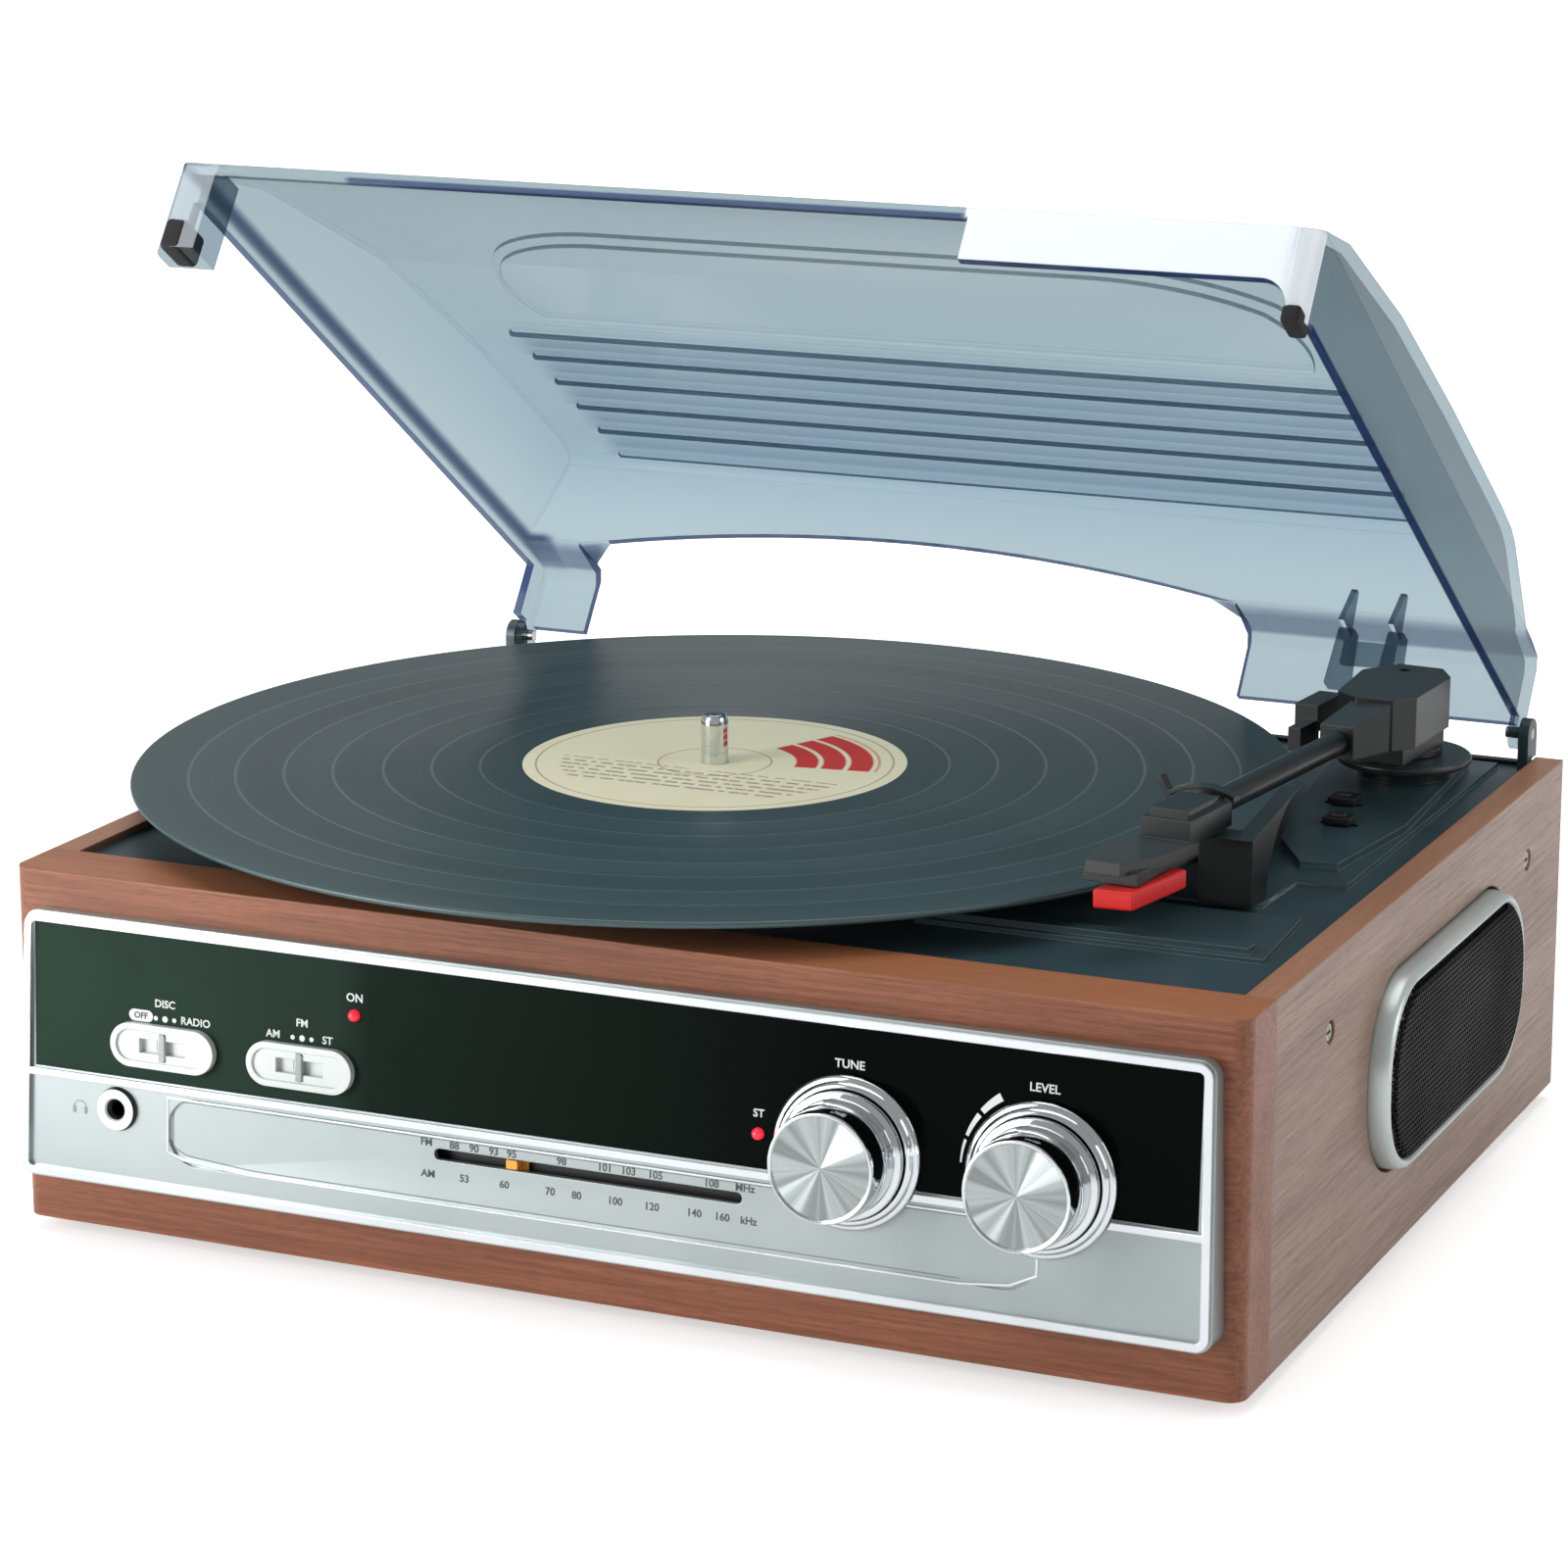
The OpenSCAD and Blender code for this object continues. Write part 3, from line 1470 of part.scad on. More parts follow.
front_frame();
side_panel_right();
side_panel_left();
back_panel();
bottom_board();
rubber_feet();
bottom_screws();
side_screws();
top_deck();
cord_grommet();
fascia();
black_panel();
fascia_bead();
tuning_bezel();
volume_bezel();
switch_windows();
power_lamp();
stereo_lamp();
headphone_socket();
dial_backplate();
front_board();
main_board();
mains_transformer();
tuning_capacitor();
volume_pot();
slide_switches();
speaker_right();
speaker_left();
speaker_bezel_right();
speaker_bezel_left();
grille_right();
grille_left();
spindle();
bearing_housing();
drive_motor();
drive_belt();
arm_base();
arm_rest();
hinge_posts();
hinge_pins();
tuning_knob();
dial_drum();
dial_pointer();
volume_knob();
function_lever();
band_lever();
platter();
slip_mat();
record();
record_label();
motor_pulley();
arm_turret();
arm_housing();
arm_tube();
headshell();
stylus_holder();
cue_lever();
speed_switch();
stop_switch();
lid();
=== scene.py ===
# %% [markdown]
# # A table-top stereo music centre
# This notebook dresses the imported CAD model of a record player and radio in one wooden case.
# The CAD model is a fixed frame: it gives every place and every joint. Blender adds the looks,
# so each cell below makes one finish or one piece of detail and lays it on that frame.

import json
import math

import bmesh
import bpy
from mathutils import Matrix, Vector
from mathutils.bvhtree import BVHTree

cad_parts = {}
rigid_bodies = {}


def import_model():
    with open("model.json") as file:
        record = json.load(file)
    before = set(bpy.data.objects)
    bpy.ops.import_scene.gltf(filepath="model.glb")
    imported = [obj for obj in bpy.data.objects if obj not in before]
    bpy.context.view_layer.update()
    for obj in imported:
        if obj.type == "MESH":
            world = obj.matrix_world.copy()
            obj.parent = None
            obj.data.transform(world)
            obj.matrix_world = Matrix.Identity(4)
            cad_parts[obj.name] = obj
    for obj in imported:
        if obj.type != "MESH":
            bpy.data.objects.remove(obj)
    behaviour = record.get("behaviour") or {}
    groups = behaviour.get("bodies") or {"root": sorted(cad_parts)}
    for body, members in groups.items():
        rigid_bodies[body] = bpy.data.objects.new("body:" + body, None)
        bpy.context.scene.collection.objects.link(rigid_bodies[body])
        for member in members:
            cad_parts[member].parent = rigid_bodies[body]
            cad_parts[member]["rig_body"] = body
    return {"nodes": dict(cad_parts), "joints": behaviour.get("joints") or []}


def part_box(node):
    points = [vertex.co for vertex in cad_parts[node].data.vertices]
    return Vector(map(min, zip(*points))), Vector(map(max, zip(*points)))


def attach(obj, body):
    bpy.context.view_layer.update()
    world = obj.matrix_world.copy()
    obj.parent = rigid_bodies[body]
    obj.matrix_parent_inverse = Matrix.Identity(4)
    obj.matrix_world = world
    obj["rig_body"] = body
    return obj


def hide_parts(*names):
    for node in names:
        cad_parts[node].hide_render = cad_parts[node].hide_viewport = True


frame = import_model()
joints = {joint["name"]: joint for joint in frame["joints"]}
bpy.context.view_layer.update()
MM = 0.001
TURN = 2 * math.pi


def linked_object(name, data):
    """A new object in the scene's collection."""
    new_object = bpy.data.objects.new(name, data)
    bpy.context.scene.collection.objects.link(new_object)
    return new_object


# %% [markdown]
# ## The camera
# A camera is only a place, a direction and a lens. The photograph was taken from the right of
# the front and a little above, with a long lens, so upright lines stay nearly parallel.

# %% Camera at the photograph's viewing angle
AZIMUTH = math.radians(24.171)
ELEVATION = math.radians(14.458)
ROLL = math.radians(-0.127)
EYE = Vector((489.997, -1113.475, 415.403)) * MM
FRAME_PX = 1600
FOCAL_PX = 4984.9


def camera_axes():
    """The camera's right, up and backward directions."""
    back = Vector((math.sin(AZIMUTH) * math.cos(ELEVATION),
                   -math.cos(AZIMUTH) * math.cos(ELEVATION), math.sin(ELEVATION)))
    right = Vector((0, 0, 1)).cross(back).normalized()
    up = back.cross(right)
    rolled_right = right * math.cos(ROLL) + up * math.sin(ROLL)
    rolled_up = up * math.cos(ROLL) - right * math.sin(ROLL)
    return rolled_right, rolled_up, back


camera_data = bpy.data.cameras.new("camera")
camera_data.sensor_width = 36
camera_data.lens = camera_data.sensor_width * FOCAL_PX / FRAME_PX
camera = linked_object("camera", camera_data)
camera.matrix_world = Matrix.Translation(EYE) @ Matrix(camera_axes()).transposed().to_4x4()
bpy.context.scene.camera = camera
print("lens in mm:", round(camera_data.lens, 2))

# %% [markdown]
# ## Building blocks for node trees
# A material is a graph of nodes. Typing every link by hand hides the idea behind it, so these
# small helpers add a node and wire its inputs in one call: a value that is a socket is linked,
# and any other value is set on the input itself.

# %% Helpers for nodes


def add_node(tree, kind, values=None, **settings):
    node = tree.nodes.new(kind)
    for key, value in settings.items():
        setattr(node, key, value)
    for name, value in (values or {}).items():
        if isinstance(value, bpy.types.NodeSocket):
            tree.links.new(value, node.inputs[name])
        else:
            node.inputs[name].default_value = value
    return node


def calc(tree, operation, first, second=0.0, third=0.0, clamp=False):
    """One Math node: returns its output socket."""
    values = {0: first, 1: second, 2: third}
    return add_node(tree, "ShaderNodeMath", values, operation=operation, use_clamp=clamp).outputs[0]


def blend_colour(tree, factor, first, second):
    node = add_node(tree, "ShaderNodeMix", {0: factor, 6: first, 7: second}, data_type="RGBA")
    return node.outputs[2]


def remap(tree, value, low, high, new_low=0.0, new_high=1.0):
    node = add_node(tree, "ShaderNodeMapRange",
                    {0: value, 1: low, 2: high, 3: new_low, 4: new_high})
    return node.outputs[0]


def window(tree, value, low, high, soft):
    """1 where value lies between low and high, with soft edges."""
    rise = remap(tree, value, low - soft, low + soft)
    fall = remap(tree, value, high - soft, high + soft, 1.0, 0.0)
    return calc(tree, "MULTIPLY", rise, fall, clamp=True)


def noise(tree, vector, scale, detail=3.0, roughness=0.5):
    values = {"Vector": vector, "Scale": scale, "Detail": detail, "Roughness": roughness}
    return add_node(tree, "ShaderNodeTexNoise", values).outputs[0]


def facing_up(tree, low, high):
    """0 to 1 as the upward share of the surface's normal grows from low to high."""
    normal = add_node(tree, "ShaderNodeNewGeometry").outputs["Normal"]
    upward = add_node(tree, "ShaderNodeSeparateXYZ", {0: normal}).outputs[2]
    return remap(tree, upward, low, high)


def colour(red, green, blue):
    """A colour read off as 0 to 255, turned into the linear values that Blender mixes."""
    def linear(value):
        value = value / 255
        return value / 12.92 if value <= 0.04045 else ((value + 0.055) / 1.055) ** 2.4
    return (linear(red), linear(green), linear(blue), 1.0)


def start_material(name, constants):
    """A new material: returns it with its tree, its shader and its object coordinates."""
    material = bpy.data.materials.new(name)
    material.use_nodes = True
    tree = material.node_tree
    shader = tree.nodes["Principled BSDF"]
    for socket, value in constants.items():
        shader.inputs[socket].default_value = value
    place = add_node(tree, "ShaderNodeTexCoord").outputs["Object"]
    return material, tree, shader, place


def add_bump(tree, shader, height, strength, distance, normal=None):
    values = {"Strength": strength, "Distance": distance, "Height": height}
    if normal is not None:
        values["Normal"] = normal
    bump = add_node(tree, "ShaderNodeBump", values)
    tree.links.new(bump.outputs[0], shader.inputs["Normal"])


print("helpers ready")

# %% [markdown]
# ## Shared effects
# Wood grain, moulding texture and edges, lightened for wear and as painted highlights, appear in
# several finishes. A node group holds each effect once, with named inputs, so that every material
# places it with its own values.
# A group puts out only masks and heights, and each material decides what they colour.

# %% Node groups


def start_group(name, inputs, outputs):
    group = bpy.data.node_groups.new(name, "ShaderNodeTree")
    for label, kind, default in inputs:
        socket = group.interface.new_socket(name=label, in_out="INPUT", socket_type=kind)
        if default is not None:
            socket.default_value = default
    for label in outputs:
        kind = "NodeSocketVector" if label == "Normal" else "NodeSocketFloat"
        group.interface.new_socket(name=label, in_out="OUTPUT", socket_type=kind)
    source = group.nodes.new("NodeGroupInput")
    target = group.nodes.new("NodeGroupOutput")
    return group, source, target


def place_group(tree, group, values):
    return add_node(tree, "ShaderNodeGroup", values, node_tree=group)


def stretch(tree, vector, factors):
    values = {"Vector": vector, "Scale": factors}
    return add_node(tree, "ShaderNodeMapping", values).outputs[0]


def build_grain_group():
    """Grain along x: slow figure, fine streaks and short dark pores."""
    group, source, target = start_group(
        "wood_grain",
        [("Vector", "NodeSocketVector", None), ("Streaks", "NodeSocketFloat", 1.0)],
        ["Figure", "Pores"])
    vector = source.outputs["Vector"]
    slow = noise(group, stretch(group, vector, (9, 90, 90)), 1.0, 3.0)
    fine = noise(group, stretch(group, vector, (26, 900, 900)), source.outputs["Streaks"], 4.0, 0.6)
    pores = noise(group, stretch(group, vector, (190, 2600, 2600)), source.outputs["Streaks"], 2.0)
    figure = calc(group, "MULTIPLY_ADD", fine, 0.6, calc(group, "MULTIPLY", slow, 0.4))
    group.links.new(remap(group, figure, 0.36, 0.64), target.inputs["Figure"])
    group.links.new(remap(group, pores, 0.52, 0.68), target.inputs["Pores"])
    return group


def build_moulding_group():
    """The faint cloudiness and spark-eroded texture of moulded plastic and sprayed paint."""
    group, source, target = start_group(
        "moulding",
        [("Vector", "NodeSocketVector", None), ("Fineness", "NodeSocketFloat", 1.0)],
        ["Cloud", "Texture"])
    vector = source.outputs["Vector"]
    cloud = noise(group, vector, 28.0, 3.0)
    texture = noise(group, stretch(group, vector, (2200, 2200, 2200)), source.outputs["Fineness"], 2.0)
    group.links.new(remap(group, cloud, 0.3, 0.7), target.inputs["Cloud"])
    group.links.new(texture, target.inputs["Texture"])
    return group


def build_edge_group():
    """A mask that is 1 along edges, which finishes lighten for wear and as a painted highlight, and a
    rounded normal.
    """
    group, source, target = start_group(
        "rounded_edge_mask",
        [("Width", "NodeSocketFloat", 0.0006), ("Vector", "NodeSocketVector", None)],
        ["Edge", "Normal"])
    rounded = add_node(group, "ShaderNodeBevel", {"Radius": source.outputs["Width"]}, samples=4)
    flat = add_node(group, "ShaderNodeNewGeometry").outputs["Normal"]
    likeness = add_node(group, "ShaderNodeVectorMath", {0: rounded.outputs[0], 1: flat},
                        operation="DOT_PRODUCT").outputs["Value"]
    patchy = noise(group, source.outputs["Vector"], 160.0, 3.0)
    edge = remap(group, likeness, 0.995, 0.9)
    edge = calc(group, "MULTIPLY", edge, remap(group, patchy, 0.3, 0.6, 0.4, 1.0), clamp=True)
    group.links.new(edge, target.inputs["Edge"])
    group.links.new(rounded.outputs[0], target.inputs["Normal"])
    return group


GRAIN = build_grain_group()
MOULDING = build_moulding_group()
EDGE = build_edge_group()
print("groups:", [group.name for group in (GRAIN, MOULDING, EDGE)])

# %% [markdown]
# ## Veneer
# The case is covered in a reddish-brown satin veneer. Its grain runs along the front, and along
# each side. Long stretched noise gives the streaks, a finer one gives the pores, and faces that
# look upward are painted a lighter orange as a painted highlight of the light from above; edges
# are lightened too, for wear and as painted highlights. The sides' veneer is given a greyer tone,
# which paints in the sheen they show.

# %% Veneer


def veneer(name, along_depth, dark, light):
    material, tree, shader, place = start_material(
        name, {"Specular IOR Level": 0.35, "Coat Weight": 0.12, "Coat Roughness": 0.2})
    if along_depth:
        turn = {"Vector": place, "Rotation": (0, 0, math.radians(90))}
        place = add_node(tree, "ShaderNodeMapping", turn).outputs[0]
    grain = place_group(tree, GRAIN, {"Vector": place, "Streaks": 1.0})
    tone = blend_colour(tree, grain.outputs["Figure"], dark, light)
    tone = blend_colour(tree, calc(tree, "MULTIPLY", grain.outputs["Pores"], 0.35),
                        tone, colour(66, 38, 24))
    # painted highlight: faces that look upward are lightened as if lit from above, and edges are lightened
    # for wear and as painted highlights
    upward = facing_up(tree, 0.4, 0.9)
    edge = place_group(tree, EDGE, {"Width": 0.9 * MM, "Vector": place})
    painted_top_light_and_edges = calc(tree, "MAXIMUM", calc(tree, "MULTIPLY", upward, 0.55), edge.outputs["Edge"])
    tone = blend_colour(tree, calc(tree, "MULTIPLY", painted_top_light_and_edges, 0.8), tone, colour(188, 124, 84))
    tree.links.new(tone, shader.inputs["Base Color"])
    rough = remap(tree, grain.outputs["Figure"], 0.0, 1.0, 0.42, 0.34)
    tree.links.new(rough, shader.inputs["Roughness"])
    add_bump(tree, shader, grain.outputs["Pores"], 0.25, -0.05 * MM, edge.outputs["Normal"])
    return material


VENEER_FRONT = veneer("veneer_front", False, colour(108, 60, 38), colour(150, 92, 64))
# painted sheen: the sides' veneer has a greyer tone than the front's, standing in for the sheen of light on
# them
VENEER_SIDE_SHEEN = veneer("veneer_side_sheen", True, colour(118, 88, 72), colour(150, 122, 106))
print("veneers ready")

# %% [markdown]
# ## Plastics, paints and metals
# Most other finishes differ only in a few values: a dark and a light tone, how rough they are
# and how metallic. One function makes them all, so that each gets the same cloudy variation,
# fine texture and edges lightened for wear and as painted highlights, at its own strength; some
# also get a lighter top colour, which is painted light from above.

# %% Sprayed, moulded and turned finishes


def finish(name, dark, light, rough=0.4, metallic=0.0, relief=0.15, wear_and_highlight=0.0, wear_and_highlight_colour=None,
           fineness=1.0, rounding=0.4, top=None, extra=None):
    constants = {"Metallic": metallic}
    constants.update(extra or {})
    material, tree, shader, place = start_material(name, constants)
    skin = place_group(tree, MOULDING, {"Vector": place, "Fineness": fineness})
    tone = blend_colour(tree, skin.outputs["Cloud"], dark, light)
    # painted light: faces that look upward take the lighter top colour, as if lit from above
    if top:
        tone = blend_colour(tree, facing_up(tree, 0.6, 0.95), tone, top)
    edge = place_group(tree, EDGE, {"Width": rounding * MM, "Vector": place})
    # edges take the lighter colour: wear, and a painted highlight where light catches the edge
    if wear_and_highlight:
        tone = blend_colour(tree, calc(tree, "MULTIPLY", edge.outputs["Edge"], wear_and_highlight), tone, wear_and_highlight_colour)
    tree.links.new(tone, shader.inputs["Base Color"])
    tree.links.new(remap(tree, skin.outputs["Cloud"], 0.0, 1.0, rough * 1.12, rough * 0.88),
                   shader.inputs["Roughness"])
    add_bump(tree, shader, skin.outputs["Texture"], relief, 0.03 * MM, edge.outputs["Normal"])
    return material


# the lighter edges of the deck, arm, base and silvers are painted highlights as well as wear
DECK_BLACK = finish("deck_black", colour(40, 60, 66), colour(50, 72, 78), 0.36, relief=0.2,
                    wear_and_highlight=0.7, wear_and_highlight_colour=colour(112, 134, 142))
# painted light: the arm's and the base's top colours are lighter because light falls on them from above
ARM_BLACK = finish("arm_black", colour(11, 14, 15), colour(18, 22, 23), 0.34, relief=0.1,
                   wear_and_highlight=0.45, wear_and_highlight_colour=colour(84, 96, 98), top=colour(46, 56, 59))
BASE_BLACK = finish("base_black", colour(16, 21, 23), colour(24, 30, 32), 0.3, relief=0.1,
                    wear_and_highlight=0.9, wear_and_highlight_colour=colour(150, 166, 170), rounding=0.7, top=colour(56, 70, 74))
SOFT_BLACK = finish("soft_black", colour(12, 13, 14), colour(20, 22, 23), 0.45, relief=0.15)
SILVER = finish("silver_paint", colour(152, 161, 162), colour(166, 174, 174), 0.34, 0.7, 0.12,
                wear_and_highlight=0.35, wear_and_highlight_colour=colour(232, 236, 238), fineness=2.0)
BRIGHT = finish("bright_trim", colour(205, 210, 213), colour(222, 226, 229), 0.16, 0.9, 0.0)
CHROME = finish("chrome", colour(206, 211, 214), colour(226, 230, 232), 0.07, 1.0, 0.0)
ZINC = finish("zinc_screws", colour(168, 164, 156), colour(196, 193, 187), 0.3, 1.0, 0.1)
BARE_BOARD = finish("fibreboard", colour(116, 88, 64), colour(140, 108, 80), 0.85, relief=0.8,
                    fineness=0.6)
RUBBER = finish("rubber", colour(18, 18, 18), colour(28, 28, 28), 0.8, relief=0.5)
BRASS = finish("turned_brass", colour(176, 140, 76), colour(200, 166, 100), 0.25, 1.0, 0.05)
ALLOY = finish("cast_alloy", colour(150, 152, 154), colour(174, 176, 178), 0.45, 0.9, 0.5)
MOTOR_STEEL = finish("motor_steel", colour(130, 132, 134), colour(160, 162, 164), 0.35, 0.9, 0.2)
IVORY = finish("ivory_plastic", colour(206, 200, 180), colour(222, 216, 198), 0.5, relief=0.2)
GREEN_BOARD = finish("circuit_lacquer", colour(24, 74, 40), colour(34, 94, 52), 0.3, relief=0.2)
SWITCH_GREY = finish("switch_grey", colour(196, 202, 200), colour(214, 219, 217), 0.34, 0.1, 0.1)
MESH_BLACK = finish("mesh_black", colour(5, 5, 5), colour(9, 9, 9), 0.5, 0.0, 0.1,
                    extra={"Specular IOR Level": 0.08})
RING_SILVER = finish("ring_silver", colour(184, 195, 194), colour(204, 213, 211), 0.34, 0.5, 0.1,
                     wear_and_highlight=0.3, wear_and_highlight_colour=colour(236, 240, 240))
LEVER_GREY = finish("lever_grey", colour(146, 153, 153), colour(162, 168, 168), 0.4, 0.1, 0.1)
RED_HOLDER = finish("stylus_red", colour(196, 22, 24), colour(226, 34, 34), 0.28, relief=0.08)
ORANGE = finish("pointer_orange", colour(235, 150, 40), colour(248, 176, 70), 0.35, relief=0.0)
PRINT_WHITE = finish("print_white", colour(214, 219, 218), colour(226, 230, 229), 0.5, relief=0.0)
PRINT_PALE = finish("print_pale", colour(128, 136, 136), colour(140, 147, 147), 0.5, relief=0.0)
PRINT_GREY = finish("print_grey", colour(70, 78, 78), colour(84, 92, 92), 0.5, relief=0.0)
print("finishes made:", len(bpy.data.materials))

# %% [markdown]
# ## Glossy panel
# The black panel is printed behind clear plastic. A faint greenish reflection is painted into its
# colour under its left end: it stops at a soft line and fades out towards the right, where the
# panel is nearly black.

# %% Glossy black


def gloss_black():
    material, tree, shader, place = start_material(
        "gloss_black", {"Roughness": 0.07, "Specular IOR Level": 0.03})
    x = add_node(tree, "ShaderNodeSeparateXYZ", {0: place}).outputs[0]
    # painted reflection: a greenish glow on the left of the panel, standing in for the mirrored studio
    painted_reflection = calc(tree, "MULTIPLY_ADD", remap(tree, x, -58 * MM, -68 * MM), 0.4,
                 remap(tree, x, 60 * MM, -160 * MM, 0.0, 0.6))
    cloudy = remap(tree, noise(tree, place, 22.0), 0.3, 0.7, 0.8, 1.0)
    tone = blend_colour(tree, calc(tree, "MULTIPLY", painted_reflection, cloudy, clamp=True),
                        colour(3, 6, 5), colour(44, 62, 52))
    tree.links.new(tone, shader.inputs["Base Color"])
    return material


GLOSS_BLACK = gloss_black()

# %% [markdown]
# ## Lamps
# The two indicator lamps are red lenses with a light behind them. A little emission of the same
# red lifts them off the black panel without lighting anything else.

# %% Lamp red


def lamp_red():
    material, tree, shader, place = start_material(
        "lamp_red", {"Roughness": 0.15, "Emission Strength": 0.55,
                     "Emission Color": colour(255, 40, 60)})
    skin = place_group(tree, MOULDING, {"Vector": place, "Fineness": 1.0})
    tone = blend_colour(tree, skin.outputs["Cloud"], colour(214, 30, 50), colour(240, 60, 80))
    tree.links.new(tone, shader.inputs["Base Color"])
    return material


LAMP_RED = lamp_red()

# %% [markdown]
# ## Smoke-clear plastic
# The lid is clear plastic tinted blue-grey. Each surface is a tinted film that lets light pass
# straight on, so a wall darkens what lies behind it twice and two walls darken it again. A soft
# reflection grows towards grazing angles. Where light runs a long way inside the plastic it
# turns navy: at the cut edges, which the face value `depth` finds, and along the moulded crease.
# The material works in the lid's own frame, whose origin is the hinge axis.

# %% The lid's own frame
LID_OPEN = math.radians(35.4)
LID_HINGE = Vector(joints["lid_hinge"]["pos_m"])
LID_REACH = 244
LID_TOP = [(15, 52.5), (30, 52.5), (90, 51.5), (150, 47.5), (210, 36), (LID_REACH, 24)]
CREASE_UP = 24
LIP_LEFT = 64
RIBS = [23 + 16.2 * index for index in range(6)]


def lid_sockets(tree, place):
    """x, reach in front of the hinge axis and height over it, as sockets in metres."""
    moved = add_node(tree, "ShaderNodeVectorMath", {0: place, 1: -LID_HINGE}, operation="ADD")
    turned = add_node(tree, "ShaderNodeVectorRotate", {"Vector": moved.outputs[0], "Angle": LID_OPEN},
                      rotation_type="X_AXIS")
    split = add_node(tree, "ShaderNodeSeparateXYZ", {0: turned.outputs[0]})
    return split.outputs[0], calc(tree, "MULTIPLY", split.outputs[1], -1.0), split.outputs[2]


def lid_frame(point):
    """x, reach in front of the hinge axis and height over it, in millimetres."""
    offset = (point - LID_HINGE) / MM
    reach = offset.z * math.sin(LID_OPEN) - offset.y * math.cos(LID_OPEN)
    height = offset.y * math.sin(LID_OPEN) + offset.z * math.cos(LID_OPEN)
    return point.x / MM, reach, height


print("hinge axis of the lid in mm:", [round(value / MM, 1) for value in LID_HINGE])

# %% Smoke-clear plastic


def crease_lines(tree, x, reach, height):
    """The navy lines moulded into the lid: its left crease, its rear step and its front edge."""
    left = calc(tree, "MULTIPLY", remap(tree, x, -139 * MM, -143 * MM),
                window(tree, height, (CREASE_UP - 1.5) * MM, (CREASE_UP + 1.3) * MM, 0.9 * MM))
    right = calc(tree, "MULTIPLY", remap(tree, x, 140 * MM, 143 * MM),
                 window(tree, height, (CREASE_UP - 0.4) * MM, (CREASE_UP + 0.4) * MM, 0.5 * MM))
    rear = calc(tree, "MULTIPLY", remap(tree, reach, 16 * MM, 14 * MM),
                window(tree, height, (CREASE_UP - 1.4) * MM, (CREASE_UP + 0.6) * MM, 0.5 * MM))
    front = calc(tree, "MULTIPLY", remap(tree, reach, (LID_REACH - 4) * MM, (LID_REACH - 3) * MM),
                 window(tree, height, 19 * MM, 20.9 * MM, 0.3 * MM))
    front = calc(tree, "MULTIPLY", front, window(tree, x, -100 * MM, LIP_LEFT * MM, 1 * MM))
    soft = calc(tree, "MAXIMUM", calc(tree, "MULTIPLY", left, 0.75), calc(tree, "MULTIPLY", right, 0.22))
    sharp = calc(tree, "MAXIMUM", calc(tree, "MULTIPLY", rear, 0.6), calc(tree, "MULTIPLY", front, 0.9))
    return calc(tree, "MAXIMUM", soft, sharp)


def painted_rib_shading(tree, x, reach, height):
    """Painted shade: each band between two ribs grows darker towards the rear, standing in for the light
    the ribs refract.
    """
    pitch = RIBS[1] - RIBS[0]
    steps = calc(tree, "MULTIPLY_ADD", reach, 1 / (pitch * MM), 1 - RIBS[0] / pitch)
    band = calc(tree, "SUBTRACT", 1.0, calc(tree, "FRACT", steps))
    inside = calc(tree, "MULTIPLY", window(tree, x, -124 * MM, 119 * MM, 3 * MM),
                  window(tree, reach, RIBS[0] * MM, RIBS[-1] * MM, 1.5 * MM))
    inside = calc(tree, "MULTIPLY", inside, remap(tree, height, 40 * MM, 44 * MM))
    return calc(tree, "MULTIPLY", band, inside)


